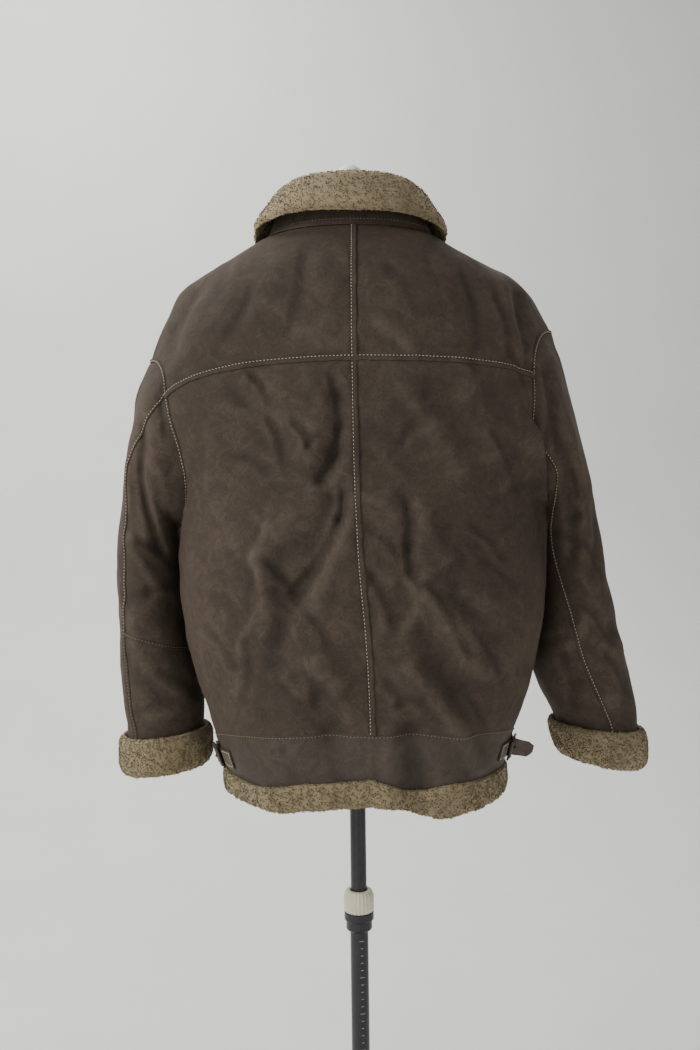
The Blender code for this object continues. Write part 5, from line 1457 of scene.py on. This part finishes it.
# Strap or tab along a path, with its stitches
def ribbon(node, place, z, path, pointLength, box):
    path = spline(np.array(path), 3)
    ahead = unit(np.gradient(path, axis=0))
    across = np.stack([-ahead[:, 1], ahead[:, 0]], axis=1)
    run = np.concatenate([[0.0], np.cumsum(np.linalg.norm(np.diff(path, axis=0), axis=1))])
    corners = [
        (-1, -0.35), (-0.97, -1), (0.97, -1), (1, -0.35), (1, 0.35), (0.97, 1), (-0.97, 1), (-1, 0.35),
    ]
    data = bmesh.new()
    rings = []
    for i in range(len(path)):
        left = run[-1] - run[i]
        half = strapHalfWidth if left >= pointLength else strapHalfWidth * (0.35 + 0.65 * left / pointLength)
        ring = []
        for wideShare, thickShare in corners:
            spot = path[i] + across[i] * strapWall / 2 * thickShare
            ring.append(data.verts.new(place(spot[0], z + half * wideShare, spot[1])))
        rings.append(ring)
    for one, other in zip(rings, rings[1:]):
        for k in range(len(corners)):
            n = (k + 1) % len(corners)
            data.faces.new((one[k], one[n], other[n], other[k]))
    data.faces.new(rings[0])
    data.faces.new(rings[-1])
    obj = finishMesh(node + "_leather", data, strapLeather, 50.0)
    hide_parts(node)
    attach(obj, "upper")
    lines = []
    for one, other in zip(box, box[1:]):
        shares = np.linspace(0, 1, 8)
        spots = [(one[0] + (other[0] - one[0]) * t, one[1] + (other[1] - one[1]) * t) for t in shares]
        lift = one[2]
        points = np.array([place(a, z + b, lift) for a, b in spots])
        raised = np.array([place(a, z + b, lift + 0.001) for a, b in spots])
        lines.append((points, unit(raised - points)))
    pieces = [stitchRows(node + "_stitches", lines, thread, 0.0004, 0.0036, 0.0028)] if lines else []
    length = float(run[-1])
    report[node] = ((2 * strapHalfWidth, length), 2 * strapHalfWidth * length)


# Solid of the CAD with rounded edges
def carried(node, material, bevel, body="upper"):
    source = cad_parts[node]
    data = bmesh.new()
    data.from_mesh(source.data)
    data.transform(source.matrix_world)
    bmesh.ops.remove_doubles(data, verts=data.verts, dist=0.00001)
    bmesh.ops.dissolve_limit(data, angle_limit=math.radians(2), verts=data.verts, edges=data.edges)
    obj = finishMesh(node + "_shown", data, material, 40.0)
    bevelEdges(obj, bevel, 35)
    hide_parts(node)
    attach(obj, body)
    return obj


def stitchBox(near, far, lift):
    return [
        (near, -0.009, lift), (near, 0.009, lift), (far, 0.009, lift), (far, -0.009, lift),
        (near, -0.009, lift),
    ]


# Heights above the band: the lower layer's middle, the buckle bar's underside and the upper layer
low = 0.0008 + strapWall / 2
over = low + strapWall / 2 + touchGap
high = over + barWidth + touchGap + strapWall / 2
inside = buckleHalfLength - barWidth / 2 - touchGap - strapWall / 2
for side in (leftSide, rightSide):
    word, z = sideNames[side], adjusterZ[side]
    place = bandPlace(side)
    tab = [(past, low) for past in (0.046, 0.040, 0.034, 0.028, 0.022, 0.016, 0.011, inside + 0.0012)]
    tab += [(inside, low + 0.0015), (inside, high - 0.0015)]
    tab += [(inside + 0.0012, high), (0.011, high), (0.018, high)]
    raised = low + strapWall / 2 + 0.0002
    ribbon(f"adjuster_tab_{word}", place, z, tab, 0.0, stitchBox(0.044, 0.021, raised))
    strap = [(-0.076 + 0.006 * k, low) for k in range(11)] + [(-0.011, low), (-inside - 0.0012, low)]
    strap += [(-inside, low + 0.0015), (-inside, high - 0.0015)]
    if side == leftSide:  # its end lies along the band, the right one stands off
        strap += [(-inside - 0.0012, high), (-0.014, high + 0.0004), (-0.022, high + 0.0012)]
        strap += [(-0.028, high + 0.0018), (-0.034, high + 0.0024), (-0.044, high + 0.003)]
    else:
        ends = [(0.0010, 0.003), (0.0050, 0.009), (0.0100, 0.015), (0.0150, 0.021), (0.0200, 0.027)]
        strap += [(-inside - past, high + lift) for past, lift in ends]
    ribbon(f"adjuster_strap_{word}", place, z, strap, 0.009, stitchBox(-0.074, -0.050, raised))
    carried(f"buckle_{word}", buckleMetal, 0.0006)
    reach, onBar = 0.0085, over + barWidth + 0.0012
    prong = [place(p, z, lift) for p, lift in ((-reach, onBar), (0.0, high + 0.0022), (reach, onBar))]
    points = spline(np.array(prong), 6)
    foot, head = (
        np.array([place(p, z, lift) for p in np.linspace(-reach, reach, len(points))])
        for lift in (0.0, 0.01)
    )
    facing = unit(head - foot)
    stitchRows(f"buckle_{word}_prong", [(points, facing)], buckleMetal, 0.0010, 0.018, 0.0175)

print("zip")
edge = grids[(leftSide, frontHalf)][0][:, 0]
half = halfZip - 2 * seamInset
along = unit(np.gradient(edge, axis=0))
facing = np.cross([1.0, 0.0, 0.0], along)
strip = [edge * [0, 1, 1] + np.array([x, 0, 0]) - facing * 0.0004 for x in np.linspace(-half, half, 5)]
strip = np.stack(strip, axis=1)
teethVerts, teethFaces = [], []
steps = np.concatenate([[0.0], np.cumsum(np.linalg.norm(np.diff(edge, axis=0), axis=1))])
pitch = 0.0024
for k in range(int(steps[-1] / pitch)):
    for sideways, shift in ((1, 0.0), (-1, 0.5)):
        at = (k + 0.25 + shift) * pitch
        centre, above = (
            np.array([0.0, np.interp(spot, steps, edge[:, 1]), np.interp(spot, steps, edge[:, 2])])
            for spot in (at, at + 0.004)
        )
        up = unit(above - centre)
        out = np.cross([1.0, 0.0, 0.0], up)
        out = out if out[1] < 0 else -out
        first = len(teethVerts)
        for x in (-0.0004, 0.0024):
            for rise, lift in ((-0.0007, -0.0002), (0.0007, -0.0002), (0.0006, 0.0007), (-0.0006, 0.0007)):
                teethVerts.append(tuple(centre + np.array([x * sideways, 0, 0]) + up * rise + out * lift))
        for face in ((0, 1, 2, 3), (4, 5, 6, 7), (0, 1, 5, 4), (1, 2, 6, 5), (2, 3, 7, 6), (3, 0, 4, 7)):
            teethFaces.append(tuple(first + i for i in face))
teeth = meshPiece("zip_teeth", teethVerts, teethFaces, zipMetal, smooth=False)
data = bmesh.new()
sheetFacing = np.repeat(facing[:, None], 5, axis=1)
sheetFacing = sheetFacing * np.where(sheetFacing[..., 1:2] > 0, -1, 1)
addWall(data, strip, sheetFacing, 0.001)
tape = finishMesh("zip_tape_cloth", data, zipTapeCloth, 60.0)
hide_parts("zip_tape")
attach(tape, "upper")
cutOf(strip)
report["zip_tape"] = (cutOf(strip), areaOf(strip))
carried("zip_slider", zipMetal, 0.0003)
carried("zip_pull", zipMetal, 0.0003, "zip_pull")

print("form and stand")
rows = list(zip(formSizes["z"], formSizes["width"], formSizes["depth"]))
drop = formGap * math.hypot(1.0, shoulderSlope)
for width, depth, below in zip(*formShoulder.values()):
    rows.append((neckZ - shoulderSlope * (width - neckHalfWidth) - drop - below, width, depth))
rows += list(zip(formNeck["z"], formNeck["width"], formNeck["depth"]))
rows = spline(np.array(rows), 4)
data = bmesh.new()
rings = []
roundSteps = 96
turns = np.linspace(0, 2 * math.pi, roundSteps + 1)[:-1]
for z, width, depth in rows:
    rings.append([data.verts.new((width * math.cos(a), depth * math.sin(a), z)) for a in turns])
for one, other in zip(rings, rings[1:]):
    for k in range(roundSteps):
        n = (k + 1) % roundSteps
        data.faces.new((one[k], one[n], other[n], other[k]))
data.faces.new(rings[0])
data.faces.new(rings[-1])
torso = finishMesh("form_torso_linen", data, linen, 60.0)
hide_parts("form_torso")
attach(torso, "upper")


# Turned piece of the stand, fluted if wanted
def spun(node, profile, material, body, closed, flutes=0):
    data = bmesh.new()
    verts = [data.verts.new((radius, 0.0, z)) for radius, z in profile]
    edges = [data.edges.new(pair) for pair in zip(verts, verts[1:])]
    if closed:
        edges.append(data.edges.new((verts[-1], verts[0])))
    steps = flutes * 6 if flutes else roundSteps
    bmesh.ops.spin(
        data, geom=verts + edges, axis=(0, 0, 1), cent=(0, 0, 0), steps=steps, angle=2 * math.pi,
        use_merge=True,
    )
    bmesh.ops.remove_doubles(data, verts=data.verts, dist=0.00001)
    for vert in data.verts:
        radius = math.hypot(vert.co.x, vert.co.y)
        if flutes and radius > 0.0155:
            turn = math.atan2(vert.co.y, vert.co.x)
            grown = 1 - 0.0009 / radius * (0.5 - 0.5 * math.cos(flutes * turn)) ** 0.5
            vert.co.x *= grown
            vert.co.y *= grown
    obj = finishMesh(node + "_shown", data, material, 40.0)
    bevelEdges(obj, 0.0004, 40)
    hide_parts(node)
    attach(obj, body)
    return obj


base = neckCapBase
capProfile = [
    (0.0, base), (0.051, base), (0.053, base + 0.004), (0.050, base + 0.012), (0.022, base + 0.017),
    (0.0115, base + 0.022),
]
knob = [
    (0.0120, base + 0.027), (0.0180, base + 0.034), (0.0192, base + 0.041), (0.0165, base + 0.048),
    (0.0095, base + 0.0535), (0.0, base + 0.0555),
]
knob = [tuple(p) for p in spline(np.array([capProfile[-1]] + knob), 4)][1:]
spun("neck_cap", capProfile + knob, capPaint, "upper", False)
foot, top = upperTubeFoot, formSizes["z"][0] - touchGap
spun(
    "pole_upper", [(0.0, foot), (upperTubeRadius, foot), (upperTubeRadius, top), (0.0, top)], tubePaint,
    "upper", False,
)
outer, bore = lowerTubeRadius, lowerTubeBore
foot, top = lowerTubeFoot, lowerTubeTop
spun(
    "pole_lower", [(outer, foot), (outer, top), (bore, top), (bore, foot)], tubePaint,
    "stand", True,
)
slack = upperTubeRadius + 0.0006
ring = [(0.0195, ringLow), (0.0210, ringLow + 0.002), (0.0210, ringHigh - 0.008), (0.0180, ringHigh - 0.001)]
ring += [(0.0165, ringHigh), (0.0125, ringHigh), (slack, ringHigh - 0.002), (slack, ringLow)]
spun("clamp_ring", ring, ringPlastic, "clamp", True, 24)
clear = outer + touchGap
ferrule = [
    (0.0150, ferruleLow), (0.0180, ferruleLow + 0.003), (0.0180, ferruleLow + 0.014),
    (0.0205, ferruleLow + 0.016),
]
ferrule += [(0.0205, ringLow - touchGap), (clear, ringLow - touchGap), (clear, ferruleLow)]
spun("clamp_ferrule", ferrule, tubePaint, "stand", True)
disc = [
    (0.0, 0.0), (baseRadius, 0.0), (baseRadius + 0.001, 0.004), (baseRadius - 0.004, 0.008),
    (0.060, 0.0125), (0.026, 0.020),
]
disc += [
    (0.021, 0.034), (0.0195, 0.045), (clear, 0.045), (clear, lowerTubeFoot - touchGap),
    (0.0, lowerTubeFoot - touchGap),
]
spun("base", disc, tubePaint, "stand", False)
scaleTurn = math.pi / 2 + 0.28
marks = bmesh.new()
for k in range(46):
    z = 0.075 + 0.010 * k
    reach = 0.26 if k % 5 == 0 else 0.14
    corners = []
    for lift in (0.0, 0.00012):
        for a in np.linspace(scaleTurn - reach, scaleTurn + reach, 5):
            for rise in (-0.0004, 0.0004):
                r = outer + lift
                corners.append(marks.verts.new((r * math.cos(a), r * math.sin(a), z + rise)))
    for j in range(4):
        a, b = 2 * j, 10 + 2 * j
        marks.faces.new((corners[b], corners[b + 2], corners[b + 3], corners[b + 1]))
        marks.faces.new((corners[a], corners[a + 1], corners[a + 3], corners[a + 2]))
        marks.faces.new((corners[a], corners[a + 2], corners[b + 2], corners[b]))
        marks.faces.new((corners[a + 1], corners[b + 1], corners[b + 3], corners[a + 3]))
    marks.faces.new((corners[0], corners[10], corners[11], corners[1]))
    marks.faces.new((corners[8], corners[9], corners[19], corners[18]))
scale = finishMesh("pole_marks", marks, markPaint, flat=True)
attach(scale, "stand")

print("stage")


def stagePiece(name, data, material):
    obj = finishMesh(name, data, material)
    return obj


floorMaterial = plainMaterial(
    "floor", "plain pale studio floor", "e6e6e3", "eaeae7", 0.95, scale=3.0, bump=0.0001,
)
data = bmesh.new()
# The floor runs from behind the camera and bends up into the wall
stageSizes = {"near": 5.0, "far": -1.2, "bend": 1.8, "height": 6.0, "halfWidth": 6.0, "below": 0.0005}
near, far, bend = stageSizes["near"], stageSizes["far"], stageSizes["bend"]
turns = np.linspace(0.04, math.pi / 2, 40)
profile = [(near, 0.0), (far, 0.0)] + [(far - bend * math.sin(a), bend - bend * math.cos(a)) for a in turns]
profile.append((far - bend, stageSizes["height"]))
halfWidth = stageSizes["halfWidth"]
rings = [
    [data.verts.new((x, y, z - stageSizes["below"])) for x in (-halfWidth, halfWidth)]
    for y, z in profile
]
for one, other in zip(rings, rings[1:]):
    data.faces.new((one[0], one[1], other[1], other[0]))
stagePiece("backdrop", data, floorMaterial)

lamps = [
    ("keyLight", (2.3, 1.3, 2.2), (0.0, 0.0, 1.05), 0.9, 52.0),
    ("softLight", (0.9, 2.6, 0.8), (0.1, 0.0, 1.0), 1.8, 13.0),
    ("fillLight", (-2.0, 1.9, 0.9), (0.0, 0.0, 1.0), 1.6, 11.0),
    ("frontLight", (-0.6, -1.9, 2.6), (0.0, 0.0, 1.1), 1.6, 22.0),
    ("wallLight", (1.5, -0.9, 3.6), (1.0, -3.0, 0.9), 2.4, 100.0),
]
for name, at, target, size, power in lamps:
    lamp = bpy.data.lights.new(name, "AREA")
    lamp.energy = power
    lamp.size = size
    lampObject = bpy.data.objects.new(name, lamp)
    lampObject.location = at
    aim = Vector(target) - Vector(at)
    lampObject.rotation_euler = aim.to_track_quat("-Z", "Y").to_euler()
    bpy.context.scene.collection.objects.link(lampObject)
world = bpy.data.worlds.new("studio")
world.use_nodes = True
world.node_tree.nodes["Background"].inputs["Color"].default_value = linear("d9dbda")
world.node_tree.nodes["Background"].inputs["Strength"].default_value = 0.5
bpy.context.scene.world = world

for node, (cut, area) in sorted(report.items()):
    print("cut", node, round(cut[0], 3), round(cut[1], 3), round(area, 4))
